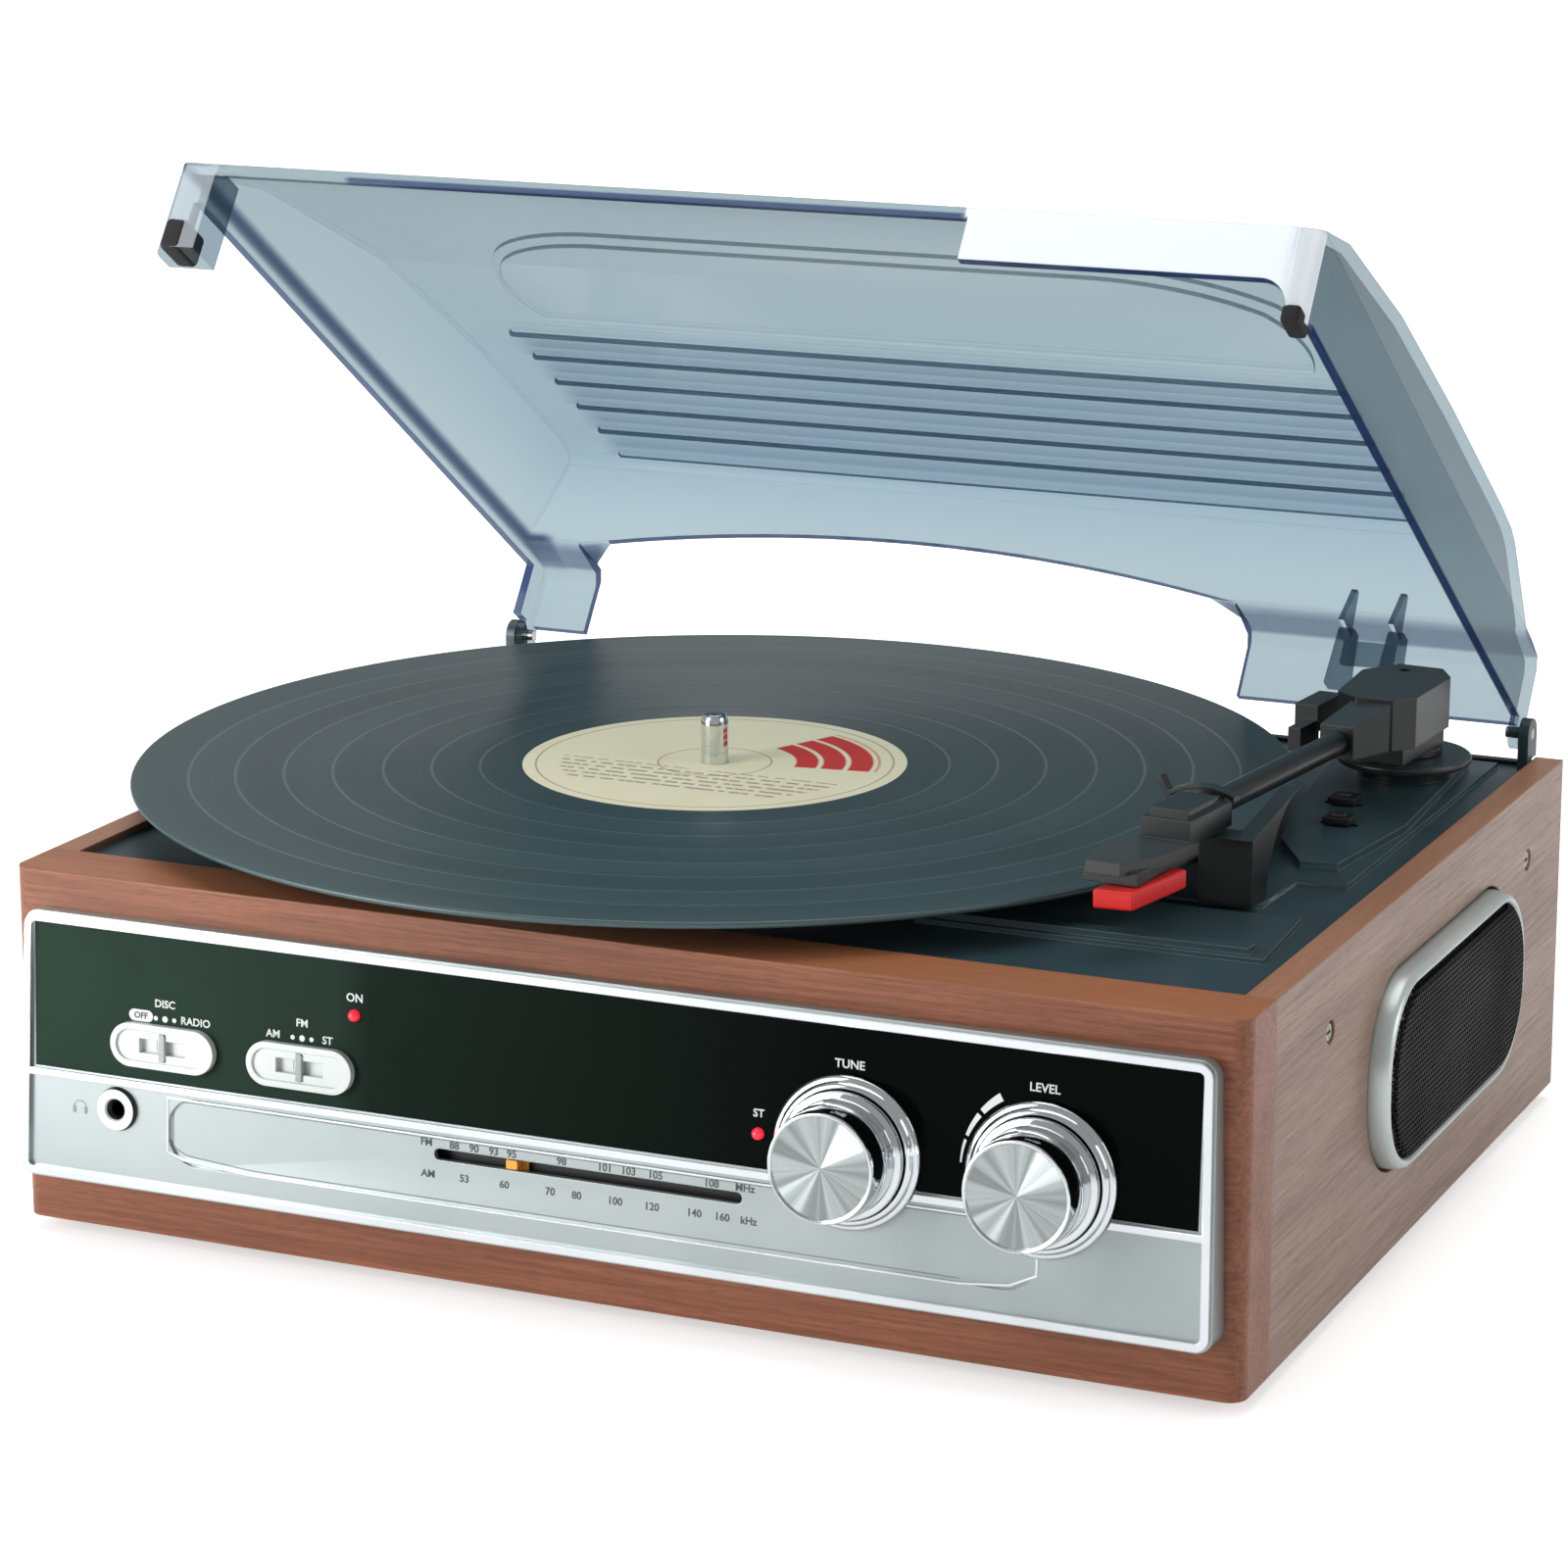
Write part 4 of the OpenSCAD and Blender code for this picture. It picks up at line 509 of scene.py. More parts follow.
def smoke_clear():
    material, tree, shader, place = start_material("smoke_clear", {"IOR": 1.45})
    skin = place_group(tree, MOULDING, {"Vector": place, "Fineness": 0.5})
    depth = add_node(tree, "ShaderNodeAttribute", attribute_name="depth").outputs["Fac"]
    frost = add_node(tree, "ShaderNodeAttribute", attribute_name="frost").outputs["Fac"]
    x, reach, height = lid_sockets(tree, place)
    lip = calc(tree, "MAXIMUM", window(tree, x, LIP_LEFT * MM, 160 * MM, 0.3 * MM),
               remap(tree, x, -136 * MM, -137 * MM, 0.0, 0.5))
    frost = calc(tree, "MULTIPLY", frost, lip)
    edge = place_group(tree, EDGE, {"Width": 0.8 * MM, "Vector": place})
    shade = calc(tree, "MULTIPLY", remap(tree, reach, 190 * MM, 20 * MM, 0.0, 1.0),
                 remap(tree, height, 30 * MM, 50 * MM))
    tint = blend_colour(tree, shade, colour(199, 209, 213), colour(188, 201, 208))
    # painted shade of the ribs darkens the tint band by band
    tint = blend_colour(tree, calc(tree, "MULTIPLY", painted_rib_shading(tree, x, reach, height), 0.8),
                        tint, colour(152, 170, 184))
    deep = calc(tree, "MAXIMUM", remap(tree, depth, 3.2, 12.0, 0.0, 1.0),
                calc(tree, "MULTIPLY", edge.outputs["Edge"], 0.2))
    deep = calc(tree, "MAXIMUM", deep, crease_lines(tree, x, reach, height))
    tint = blend_colour(tree, deep, tint, colour(80, 98, 136))
    film = add_node(tree, "ShaderNodeBsdfTransparent", {"Color": tint})
    haze = blend_colour(tree, skin.outputs["Cloud"], colour(118, 134, 140), colour(128, 144, 150))
    haze = blend_colour(tree, frost, haze, colour(238, 245, 252))
    haze = blend_colour(tree, deep, haze, colour(52, 72, 116))
    tree.links.new(haze, shader.inputs["Base Color"])
    tree.links.new(remap(tree, frost, 0.0, 1.0, 0.14, 0.34), shader.inputs["Roughness"])
    tree.links.new(edge.outputs["Normal"], shader.inputs["Normal"])
    facing = add_node(tree, "ShaderNodeLayerWeight", {"Blend": 0.5}).outputs["Facing"]
    grazing = calc(tree, "POWER", facing, 4.0)
    inside = add_node(tree, "ShaderNodeNewGeometry").outputs["Backfacing"]
    outer = remap(tree, inside, 0.0, 1.0, 1.0, 0.25)
    share = calc(tree, "MULTIPLY_ADD", calc(tree, "MULTIPLY", grazing, outer), 0.5, 0.1)
    share = calc(tree, "MAXIMUM", share, calc(tree, "MULTIPLY", frost, 0.93))
    share = calc(tree, "MAXIMUM", share, calc(tree, "MULTIPLY", deep, 0.45))
    body = add_node(tree, "ShaderNodeMixShader",
                    {0: share, 1: film.outputs[0], 2: shader.outputs[0]})
    shadow = add_node(tree, "ShaderNodeBsdfTransparent", {"Color": colour(214, 221, 225)})
    is_shadow = add_node(tree, "ShaderNodeLightPath").outputs["Is Shadow Ray"]
    mixed = add_node(tree, "ShaderNodeMixShader",
                     {0: is_shadow, 1: body.outputs[0], 2: shadow.outputs[0]})
    tree.links.new(mixed.outputs[0], tree.nodes["Material Output"].inputs["Surface"])
    return material


SMOKE = smoke_clear()

# %% [markdown]
# ## Vinyl
# A record is a disc of fine concentric grooves, which stretch every highlight across them into
# a bright wedge. The disc gets a UV map whose u runs round the axis, and the Tangent node reads
# it, so the shader's anisotropy knows which way the grooves run.

# %% Vinyl


def radius_of(tree, place, centre):
    """Distance from an upright axis, in metres."""
    shifted = add_node(tree, "ShaderNodeVectorMath", {0: place, 1: (-centre[0], -centre[1], 0)},
                       operation="ADD").outputs[0]
    split = add_node(tree, "ShaderNodeSeparateXYZ", {0: shifted})
    square = calc(tree, "MULTIPLY", split.outputs[0], split.outputs[0])
    square = calc(tree, "MULTIPLY_ADD", split.outputs[1], split.outputs[1], square)
    return calc(tree, "SQRT", square), split


def vinyl(centre):
    material, tree, shader, place = start_material(
        "vinyl", {"Anisotropic": 0.85, "IOR": 1.56})
    radius, _ = radius_of(tree, place, centre)
    along = add_node(tree, "ShaderNodeCombineXYZ", {0: radius}).outputs[0]
    bands = noise(tree, along, 300.0, 5.0, 0.8)
    tracks = remap(tree, noise(tree, along, 55.0, 1.0), 0.35, 0.65, 0.0, 0.5)
    tracks = calc(tree, "MULTIPLY_ADD", remap(tree, bands, 0.3, 0.7), 0.5, tracks)
    tone = blend_colour(tree, tracks, colour(44, 63, 66), colour(60, 84, 87))
    gaps = 0.0
    for gap in TRACK_GAPS:
        gaps = calc(tree, "ADD", gaps, window(tree, radius, (gap - 0.4) * MM, (gap + 0.4) * MM, 0.2 * MM))
    tone = blend_colour(tree, calc(tree, "MULTIPLY", gaps, 0.4), tone, colour(104, 122, 124))
    tree.links.new(tone, shader.inputs["Base Color"])
    rough = calc(tree, "MULTIPLY_ADD", gaps, -0.08, remap(tree, bands, 0.3, 0.7, 0.27, 0.33))
    tree.links.new(rough, shader.inputs["Roughness"])
    tangent = add_node(tree, "ShaderNodeTangent", direction_type="UV_MAP", uv_map="around")
    tree.links.new(tangent.outputs[0], shader.inputs["Tangent"])
    add_bump(tree, shader, bands, 0.1, 0.01 * MM)
    return material


PLATTER_AXIS = Vector(joints["platter_spin"]["pos_m"])
TRACK_GAPS = [61, 73.5, 86, 99, 111.5, 124, 136]
VINYL = vinyl(PLATTER_AXIS)
print("platter axis in mm:", [round(value / MM, 2) for value in PLATTER_AXIS])

# %% [markdown]
# ## Record label
# The paper label is cream with a generic printed design: a thin line round its edge, a red arch
# on one side with pale stripes, and short grey dashes where a real label lists its tunes. All of
# it is worked out from the distance and the angle round the spindle.

# %% Record label


def label_paper(centre, label_radius):
    material, tree, shader, place = start_material("label_paper", {"Roughness": 0.7})
    radius, split = radius_of(tree, place, centre)
    share = calc(tree, "DIVIDE", radius, label_radius)
    angle = calc(tree, "ARCTAN2", split.outputs[1], split.outputs[0])
    skin = place_group(tree, MOULDING, {"Vector": place, "Fineness": 0.8})
    tone = blend_colour(tree, skin.outputs["Cloud"], colour(244, 233, 196), colour(250, 240, 208))
    arch = calc(tree, "MULTIPLY", window(tree, share, 0.42, 0.86, 0.01),
                window(tree, angle, 0.15, 1.15, 0.012))
    stripes = window(tree, calc(tree, "FRACT", calc(tree, "MULTIPLY", share, 7.0)), 0.78, 0.96, 0.04)
    arch = calc(tree, "MULTIPLY", arch, calc(tree, "SUBTRACT", 1.0, stripes))
    tone = blend_colour(tree, arch, tone, colour(214, 52, 48))
    ring = calc(tree, "MAXIMUM", window(tree, share, 0.925, 0.935, 0.003),
                window(tree, share, 0.29, 0.3, 0.003))
    tone = blend_colour(tree, calc(tree, "MULTIPLY", ring, 0.6), tone, colour(120, 100, 84))
    rows = calc(tree, "FRACT", calc(tree, "MULTIPLY", split.outputs[1], 1 / (3.6 * MM)))
    dash_seed = add_node(tree, "ShaderNodeCombineXYZ", {
        0: calc(tree, "MULTIPLY", split.outputs[0], 1 / (2.4 * MM)),
        1: calc(tree, "FLOOR", calc(tree, "MULTIPLY", split.outputs[1], 1 / (3.6 * MM)))})
    dashes = remap(tree, noise(tree, dash_seed.outputs[0], 1.0, 0.0), 0.42, 0.46)
    block = calc(tree, "MULTIPLY", window(tree, split.outputs[1], -30 * MM, -9 * MM, 0.3 * MM),
                 window(tree, share, 0.2, 0.8, 0.01))
    words = calc(tree, "MULTIPLY", calc(tree, "MULTIPLY", window(tree, rows, 0.3, 0.62, 0.05), dashes),
                 block)
    tone = blend_colour(tree, calc(tree, "MULTIPLY", words, 0.65), tone, colour(84, 74, 66))
    tree.links.new(tone, shader.inputs["Base Color"])
    add_bump(tree, shader, skin.outputs["Texture"], 0.2, 0.03 * MM)
    return material


label_low, label_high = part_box("record_label")
LABEL_RADIUS = (label_high.x - label_low.x) / 2
LABEL_PAPER = label_paper(PLATTER_AXIS, LABEL_RADIUS)
print("label radius in mm:", round(LABEL_RADIUS / MM, 1))

# %% [markdown]
# ## Spun metal
# The knob faces are spun: a tool has drawn fine circles on them, so light gathers in bright
# wedges that meet at the centre. This is the same idea as the record, on a metal. Some sectors
# round the axis are a little rougher, and paler wedges are painted on them as painted highlights.

# %% Spun metal


def spun_metal():
    material, tree, shader, place = start_material(
        "spun_metal", {"Metallic": 1.0, "Anisotropic": 0.95})
    uv = add_node(tree, "ShaderNodeUVMap", uv_map="around").outputs[0]
    split = add_node(tree, "ShaderNodeSeparateXYZ", {0: uv})
    lines = add_node(tree, "ShaderNodeCombineXYZ", {1: split.outputs[1]}).outputs[0]
    rings = noise(tree, lines, 60.0, 3.0, 0.7)
    turn = calc(tree, "MULTIPLY", split.outputs[0], TURN)
    round_trip = add_node(tree, "ShaderNodeCombineXYZ",
                          {0: calc(tree, "COSINE", turn), 1: calc(tree, "SINE", turn)}).outputs[0]
    painted_highlight_sectors = remap(tree, noise(tree, round_trip, 2.6, 2.0), 0.4, 0.62)
    tone = blend_colour(tree, rings, colour(120, 128, 128), colour(148, 155, 155))
    # painted highlight: paler wedges round the axis of the knob
    tone = blend_colour(tree, calc(tree, "MULTIPLY", painted_highlight_sectors, 0.7), tone, colour(208, 215, 215))
    tree.links.new(tone, shader.inputs["Base Color"])
    rough = calc(tree, "MULTIPLY_ADD", painted_highlight_sectors, 0.12, remap(tree, rings, 0.3, 0.7, 0.16, 0.22))
    tree.links.new(rough, shader.inputs["Roughness"])
    tangent = add_node(tree, "ShaderNodeTangent", direction_type="UV_MAP", uv_map="around")
    tree.links.new(tangent.outputs[0], shader.inputs["Tangent"])
    return material


SPUN = spun_metal()

# %% [markdown]
# ## Dressing the CAD nodes
# Real mouldings and boards have no razor edges. A copy of a CAD node's mesh is merged, its flat
# faces are joined, and a Bevel modifier rounds what is left by a fraction of a millimetre, which
# is enough to catch a thin highlight. The copy stands for the node and rides on its body.

# %% Pieces that ride on the frame
pieces_made = []


def add_piece(name, mesh, body, material, stands_for=()):
    piece = linked_object(name, mesh)
    mesh.materials.clear()
    mesh.materials.append(material)
    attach(piece, body)
    if stands_for:
        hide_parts(*stands_for)
    pieces_made.append(name)
    return piece


def body_of_node(node):
    return frame["nodes"][node]["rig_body"]


def merged_copy(node):
    """A clean mesh from a CAD node: doubles merged, flat faces joined."""
    mesh = frame["nodes"][node].data.copy()
    cleaner = bmesh.new()
    cleaner.from_mesh(mesh)
    bmesh.ops.remove_doubles(cleaner, verts=cleaner.verts, dist=0.002 * MM)
    bmesh.ops.dissolve_limit(cleaner, angle_limit=math.radians(0.6), verts=cleaner.verts,
                             edges=cleaner.edges, delimit={"NORMAL"})
    cleaner.to_mesh(mesh)
    cleaner.free()
    return mesh


def mesh_from(maker, name):
    """The mesh that a bmesh holds; the bmesh is then freed."""
    mesh = bpy.data.meshes.new(name)
    maker.to_mesh(mesh)
    maker.free()
    return mesh


def apply_modifiers(helper):
    """The evaluated mesh of a helper object, which is then removed."""
    bpy.context.view_layer.update()
    depsgraph = bpy.context.evaluated_depsgraph_get()
    mesh = bpy.data.meshes.new_from_object(helper.evaluated_get(depsgraph))
    bpy.data.objects.remove(helper)
    return mesh


def even_normals(mesh, angle=32):
    """Smooth shading in which a large flat face keeps its own normal, up to sharp edges."""
    for polygon in mesh.polygons:
        polygon.use_smooth = True
    mesh.set_sharp_from_angle(angle=math.radians(angle))
    helper = linked_object("helper", mesh)
    weighting = helper.modifiers.new("weighting", "WEIGHTED_NORMAL")
    weighting.keep_sharp = True
    weighting.weight = 100
    return apply_modifiers(helper)


SPEAKER_HOLE = (64.5, 27.5, 25)
CLOSER_HOLE = (60.7, 26, 23.5)


def draw_in_hole(mesh, node):
    """Draws a side panel's speaker opening in, to just outside the ring that stands in it."""
    low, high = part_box(node)
    middle = (low + high) / 2
    half_length, half_height, radius = SPEAKER_HOLE
    new_length, new_height, new_radius = CLOSER_HOLE
    for vertex in mesh.vertices:
        along = (vertex.co.y - middle.y) / MM
        up = (vertex.co.z - middle.z) / MM
        corner = Vector((math.copysign(half_length - radius, along),
                         math.copysign(half_height - radius, up)))
        spoke = Vector((along, up)) - corner
        if abs(spoke.length - radius) > 0.3:
            continue
        new_corner = Vector((math.copysign(new_length - new_radius, along),
                             math.copysign(new_height - new_radius, up)))
        moved = new_corner + spoke.normalized() * new_radius
        vertex.co.y = middle.y + moved.x * MM
        vertex.co.z = middle.z + moved.y * MM


def soften(node, material, width, segments=2, angle=28):
    """A piece that stands for a node, with its edges rounded by width in millimetres."""
    mesh = merged_copy(node)
    if node.startswith("side_panel"):
        draw_in_hole(mesh, node.replace("side_panel", "grille"))
    if width:
        helper = linked_object("helper", mesh)
        bevel = helper.modifiers.new("round", "BEVEL")
        bevel.width = width * MM
        bevel.segments = segments
        bevel.limit_method = "ANGLE"
        bevel.angle_limit = math.radians(angle)
        bevel.use_clamp_overlap = True
        mesh = apply_modifiers(helper)
    finished = even_normals(mesh)
    return add_piece(node + "_dressed", finished, body_of_node(node), material, (node,))


SOFTENED = [
    ("front_frame", VENEER_FRONT, "wood", 0),
    ("side_panel_right", VENEER_SIDE_SHEEN, "wood", 0),
    ("side_panel_left", VENEER_SIDE_SHEEN, "wood", 0),
    ("top_deck", DECK_BLACK, "black_plastic", 0),
    ("fascia", SILVER, "silver_plastic", 0),
    ("fascia_bead", BRIGHT, "chrome", 0),
    ("switch_windows", SWITCH_GREY, "silver_plastic", 0.35),
    ("arm_base", BASE_BLACK, "black_plastic", 0.3),
    ("arm_rest", ARM_BLACK, "black_plastic", 0.4),
    ("arm_turret", ARM_BLACK, "black_plastic", 0.3),
    ("arm_housing", ARM_BLACK, "black_plastic", 0.5),
    ("headshell", ARM_BLACK, "black_plastic", 0.3),
    ("cue_lever", ARM_BLACK, "black_plastic", 0.4),
    ("speed_switch", SOFT_BLACK, "black_plastic", 0.3),
    ("stop_switch", SOFT_BLACK, "black_plastic", 0.3),
    ("hinge_posts", DECK_BLACK, "black_plastic", 0.4),
]
for node, material, slot, width in SOFTENED:
    soften(node, material, width)
print("softened:", len(SOFTENED))

# %% [markdown]
# ## The lid and its two face values
# A ray sent inwards from each face tells how much plastic lies behind it, so that cut edges can
# be told from walls. The step of the raised oval and the ribs lie close under the top and count
# as walls. The second value marks the sandblasted outer face of the front lip.

# %% The lid


def write_face_value(mesh, name, values):
    attribute = mesh.attributes.new(name, "FLOAT", "FACE")
    attribute.data.foreach_set("value", values)


def top_height(reach):
    """Height of the lid's top over the hinge axis, between the points of its outline."""
    for (near, low), (far, high) in zip(LID_TOP, LID_TOP[1:]):
        if reach <= far:
            return low + (high - low) * max(reach - near, 0) / (far - near)
    return LID_TOP[-1][1]


def points_inside(mesh):
    """For each face the middle of its largest triangle, which always lies inside the face."""
    mesh.calc_loop_triangles()
    best = {}
    for triangle in mesh.loop_triangles:
        kept = best.get(triangle.polygon_index)
        if kept is None or triangle.area > kept[0]:
            best[triangle.polygon_index] = (triangle.area, triangle.center.copy())
    return [best[index][1] if index in best else mesh.polygons[index].center
            for index in range(len(mesh.polygons))]


LEG_RIGHT = -136
LEG_DEPTH = 5.5
WALL_BAND = 5
LIP_BAND = 3
LEG_BAND = 13


def plastic_behind(mesh):
    """Millimetres of plastic behind each cut edge; 0 for the walls."""
    tree = BVHTree.FromPolygons([vertex.co for vertex in mesh.vertices],
                                [polygon.vertices for polygon in mesh.polygons])
    depths = []
    for polygon, point in zip(mesh.polygons, points_inside(mesh)):
        _, reach, height = lid_frame(point)
        start = point - polygon.normal * 0.02 * MM
        distance = tree.ray_cast(start, -polygon.normal)[3]
        is_edge = distance and height < top_height(reach) - WALL_BAND and reach < LID_REACH - LIP_BAND
        is_lip = distance and reach >= LID_REACH - LIP_BAND and abs(lid_normal(polygon).z) > 0.5
        if reach > LID_REACH - LEG_BAND and point.x < LEG_RIGHT * MM:
            depths.append(LEG_DEPTH if lid_normal(polygon).x > 0.7 else 0.0)
            continue
        depths.append(distance / MM if is_edge or is_lip else 0.0)
    return depths


def lid_normal(polygon):
    """A face's normal in the lid's frame: x, forward and up."""
    ahead = polygon.normal.z * math.sin(LID_OPEN) - polygon.normal.y * math.cos(LID_OPEN)
    up = polygon.normal.y * math.sin(LID_OPEN) + polygon.normal.z * math.cos(LID_OPEN)
    return Vector((polygon.normal.x, ahead, up))


def frosting(polygon, point):
    _, reach, height = lid_frame(point)
    normal = lid_normal(polygon)
    outer = normal.y > 0.05 and normal.z > -0.3 and normal.x > -0.5
    return 1.0 if outer and reach > LID_REACH - 8 and height < CREASE_UP - 0.4 else 0.0


lid_mesh = even_normals(merged_copy("lid"), 24)
write_face_value(lid_mesh, "depth", plastic_behind(lid_mesh))
write_face_value(lid_mesh, "frost", [frosting(polygon, point) for polygon, point
                                     in zip(lid_mesh.polygons, points_inside(lid_mesh))])
add_piece("lid_shell", lid_mesh, "lid", SMOKE, ("lid",))
print("faces of the lid:", len(lid_mesh.polygons))

# %% [markdown]
# ## Bumpers and clips of the lid
# Two rubber bumpers sit in the ends of the lid's front legs, so that it closes softly, and two
# small clips stand under the fins at its rear. They are blocks with rounded edges, placed in
# the lid's own frame.

# %% Bumpers and clips


def from_lid(x, reach, height):
    """A place in the scene from a place in the lid's frame, in millimetres."""
    y = height * math.sin(LID_OPEN) - reach * math.cos(LID_OPEN)
    z = height * math.cos(LID_OPEN) + reach * math.sin(LID_OPEN)
    return LID_HINGE + Vector((x - LID_HINGE.x / MM, y, z)) * MM


def round_edges(maker, rounding):
    """Rounds every edge of a bmesh by rounding in millimetres."""
    bmesh.ops.bevel(maker, geom=maker.edges[:], offset=rounding * MM, segments=3, profile=0.5,
                    affect="EDGES", offset_type="OFFSET")


def rounded_block(xs, reaches, heights, rounding, taper=0.0):
    """A block in the lid's frame with rounded edges; taper narrows its upper end."""
    maker = bmesh.new()
    bmesh.ops.create_cube(maker, size=1)
    for vertex in maker.verts:
        high = vertex.co.z > 0
        spread = 1 - taper if high else 1
        x = (xs[0] + xs[1]) / 2 + vertex.co.x * (xs[1] - xs[0]) * spread
        reach = (reaches[0] + reaches[1]) / 2 + vertex.co.y * (reaches[1] - reaches[0])
        vertex.co = from_lid(x, reach, heights[1] if high else heights[0])
    bmesh.ops.recalc_face_normals(maker, faces=maker.faces)
    round_edges(maker, rounding)
    return mesh_from(maker, "block")


def prism_mesh(outline, low, high, place=Matrix.Identity(4), rounding=0.0):
    """An outline in mm raised from low to high, with its edges rounded if asked."""
    maker = bmesh.new()
    under, over = [[maker.verts.new(place @ (Vector((x, y, height)) * MM)) for x, y in outline]
                   for height in (low, high)]
    maker.faces.new(under)
    maker.faces.new(over)
    for index in range(len(outline)):
        after = (index + 1) % len(outline)
        maker.faces.new([under[index], under[after], over[after], over[index]])
    bmesh.ops.remove_doubles(maker, verts=maker.verts, dist=0.001 * MM)
    bmesh.ops.recalc_face_normals(maker, faces=maker.faces)
    if rounding:
        round_edges(maker, rounding)
    return mesh_from(maker, "prism")


def join_meshes(name, meshes):
    maker = bmesh.new()
    for mesh in meshes:
        maker.from_mesh(mesh)
    return mesh_from(maker, name)


LID_HALF = 150
CLIP_XS = (96.8, 110.8)
CLIP_DEPTH = 4.6

bumpers = [rounded_block((LID_HALF - 4.8, LID_HALF - 0.3), (234.4, 243.4), (-1.2, 3.4), 1.0),
           rounded_block((-LID_HALF + 3, -LID_HALF + 9), (233, 244.3), (-1.5, 7), 1.4)]
add_piece("lid_bumpers", even_normals(join_meshes("lid_bumpers", bumpers)), "lid", RUBBER)
clips = [rounded_block((x - 3.4, x + 3.4), (-2.6, 2.6), (8, 25), 0.7, 0.3) for x in CLIP_XS]
clips.append(rounded_block((96, 111), (-1.4, 0.4), (15, 22), 0.5))
clip_mesh = even_normals(join_meshes("lid_clips", clips))
write_face_value(clip_mesh, "depth", [CLIP_DEPTH] * len(clip_mesh.polygons))
add_piece("lid_clips", clip_mesh, "lid", SMOKE)
print("blocks on the lid:", len(bumpers) + len(clips))

# %% [markdown]
# ## Red stylus holder
# The red block under the nose of the head widens to the rear and hangs just clear of the record.

# %% Stylus holder
HOLDER_OUTLINE = [(109.4, -91.6), (119.2, -90.8), (123.8, -66.5), (113.5, -64.5)]
HOLDER_LOW = 104.95
HOLDER_HIGH = 109.6

holder = prism_mesh(HOLDER_OUTLINE, HOLDER_LOW, HOLDER_HIGH, rounding=0.7)
add_piece("stylus_block", even_normals(holder), body_of_node("stylus_holder"),
          RED_HOLDER, ("stylus_holder",))
print("stylus holder faces:", len(holder.polygons))

# %% [markdown]
# ## Nodes that keep their CAD mesh
# Parts that are hidden inside the case, or whose plain shape is right, keep their own mesh and
# only get a finish.

# %% Finishes of the other nodes
KEPT = {
    SOFT_BLACK: ["dial_backplate", "slide_switches", "cord_grommet", "back_panel"],
    BARE_BOARD: ["bottom_board"],
    RUBBER: ["rubber_feet", "slip_mat", "drive_belt"],
    ZINC: ["bottom_screws", "side_screws", "hinge_pins"],
    GLOSS_BLACK: ["black_panel"],
    LAMP_RED: ["power_lamp", "stereo_lamp"],
    CHROME: ["spindle"],
    GREEN_BOARD: ["front_board", "main_board"],
    MOTOR_STEEL: ["mains_transformer", "volume_pot", "drive_motor"],
    IVORY: ["tuning_capacitor", "dial_drum"],
    BRASS: ["bearing_housing", "motor_pulley"],
    ORANGE: ["dial_pointer"],
    ALLOY: ["platter", "speaker_right", "speaker_left"],
    LABEL_PAPER: ["record_label"],
    ARM_BLACK: ["arm_tube"],
}
for material, nodes in KEPT.items():
    for node in nodes:
        for node_slot in frame["nodes"][node].material_slots:
            node_slot.material = material
print("nodes that keep their mesh:", sum(len(nodes) for nodes in KEPT.values()))

# %% [markdown]
# ## Turned pieces
# Knobs, bezels and the record are turned: one profile goes round an axis. The function below
# also writes the UV map that the spun finishes read, with u round the axis and v along the
# profile.

# %% Turning a profile


def turned_mesh(name, profile, place, segments=192):
    """profile is a list of (radius, height) in mm, from one pole or open end to the other."""
    maker = bmesh.new()
    uv = maker.loops.layers.uv.new("around")
    rings = []
    for radius, height in profile:
        if radius < 1e-6:
            rings.append([maker.verts.new(place @ Vector((0, 0, height * MM)))])
            continue
        rings.append([maker.verts.new(place @ Vector((
            radius * MM * math.cos(TURN * step / segments),
            radius * MM * math.sin(TURN * step / segments), height * MM)))
            for step in range(segments)])
    last = len(profile) - 1
    for row in range(last):
        low, high = rings[row], rings[row + 1]
        for step in range(segments):
            following = (step + 1) % segments
            corners = [(low, step, row), (low, following, row),
                       (high, following, row + 1), (high, step, row + 1)]
            if len(low) == 1:
                corners.pop(0)
            if len(high) == 1:
                corners.pop()
            face = maker.faces.new([ring[index % len(ring)] for ring, index, _ in corners])
            for loop, (_, index, level) in zip(face.loops, corners):
                turn = step + 1 if index == following else step
                loop[uv].uv = (turn / segments, level / last)
    bmesh.ops.recalc_face_normals(maker, faces=maker.faces)
    return even_normals(mesh_from(maker, name))


def upright(node_axis, height):
    return Matrix.Translation(Vector((node_axis.x, node_axis.y, height)))


# %% The record
record_low, record_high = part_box("record")
RECORD_R = (record_high.x - record_low.x) / 2 / MM
RECORD_T = (record_high.z - record_low.z) / MM
LABEL_T = 0.2
HOLE_R = 3.62
GROOVE_DROP = 0.15


def record_profile():
    """From the spindle hole over the top, round the rim and back under."""
    label_r = LABEL_RADIUS / MM
    land = label_r + 3
    top = [(HOLE_R, RECORD_T - LABEL_T), (label_r, RECORD_T - LABEL_T), (label_r, RECORD_T),
           (land, RECORD_T), (land + 1, RECORD_T - GROOVE_DROP)]
    for gap in TRACK_GAPS:
        top += [(gap - 0.5, RECORD_T - GROOVE_DROP), (gap - 0.35, RECORD_T - GROOVE_DROP - 0.05),
                (gap + 0.35, RECORD_T - GROOVE_DROP - 0.05), (gap + 0.5, RECORD_T - GROOVE_DROP)]
    top += [(RECORD_R - 3, RECORD_T - GROOVE_DROP), (RECORD_R - 2, RECORD_T)]
    middle = RECORD_T / 2
    rim = [(RECORD_R - middle + middle * math.cos(angle), middle + middle * math.sin(angle))
           for angle in [math.radians(step) for step in range(75, -90, -15)]]
    under = [(RECORD_R - 2, 0), (RECORD_R - 3, GROOVE_DROP), (land + 1, GROOVE_DROP), (land, 0),
             (HOLE_R, 0)]
    return top + rim + under + [(HOLE_R, RECORD_T - LABEL_T)]


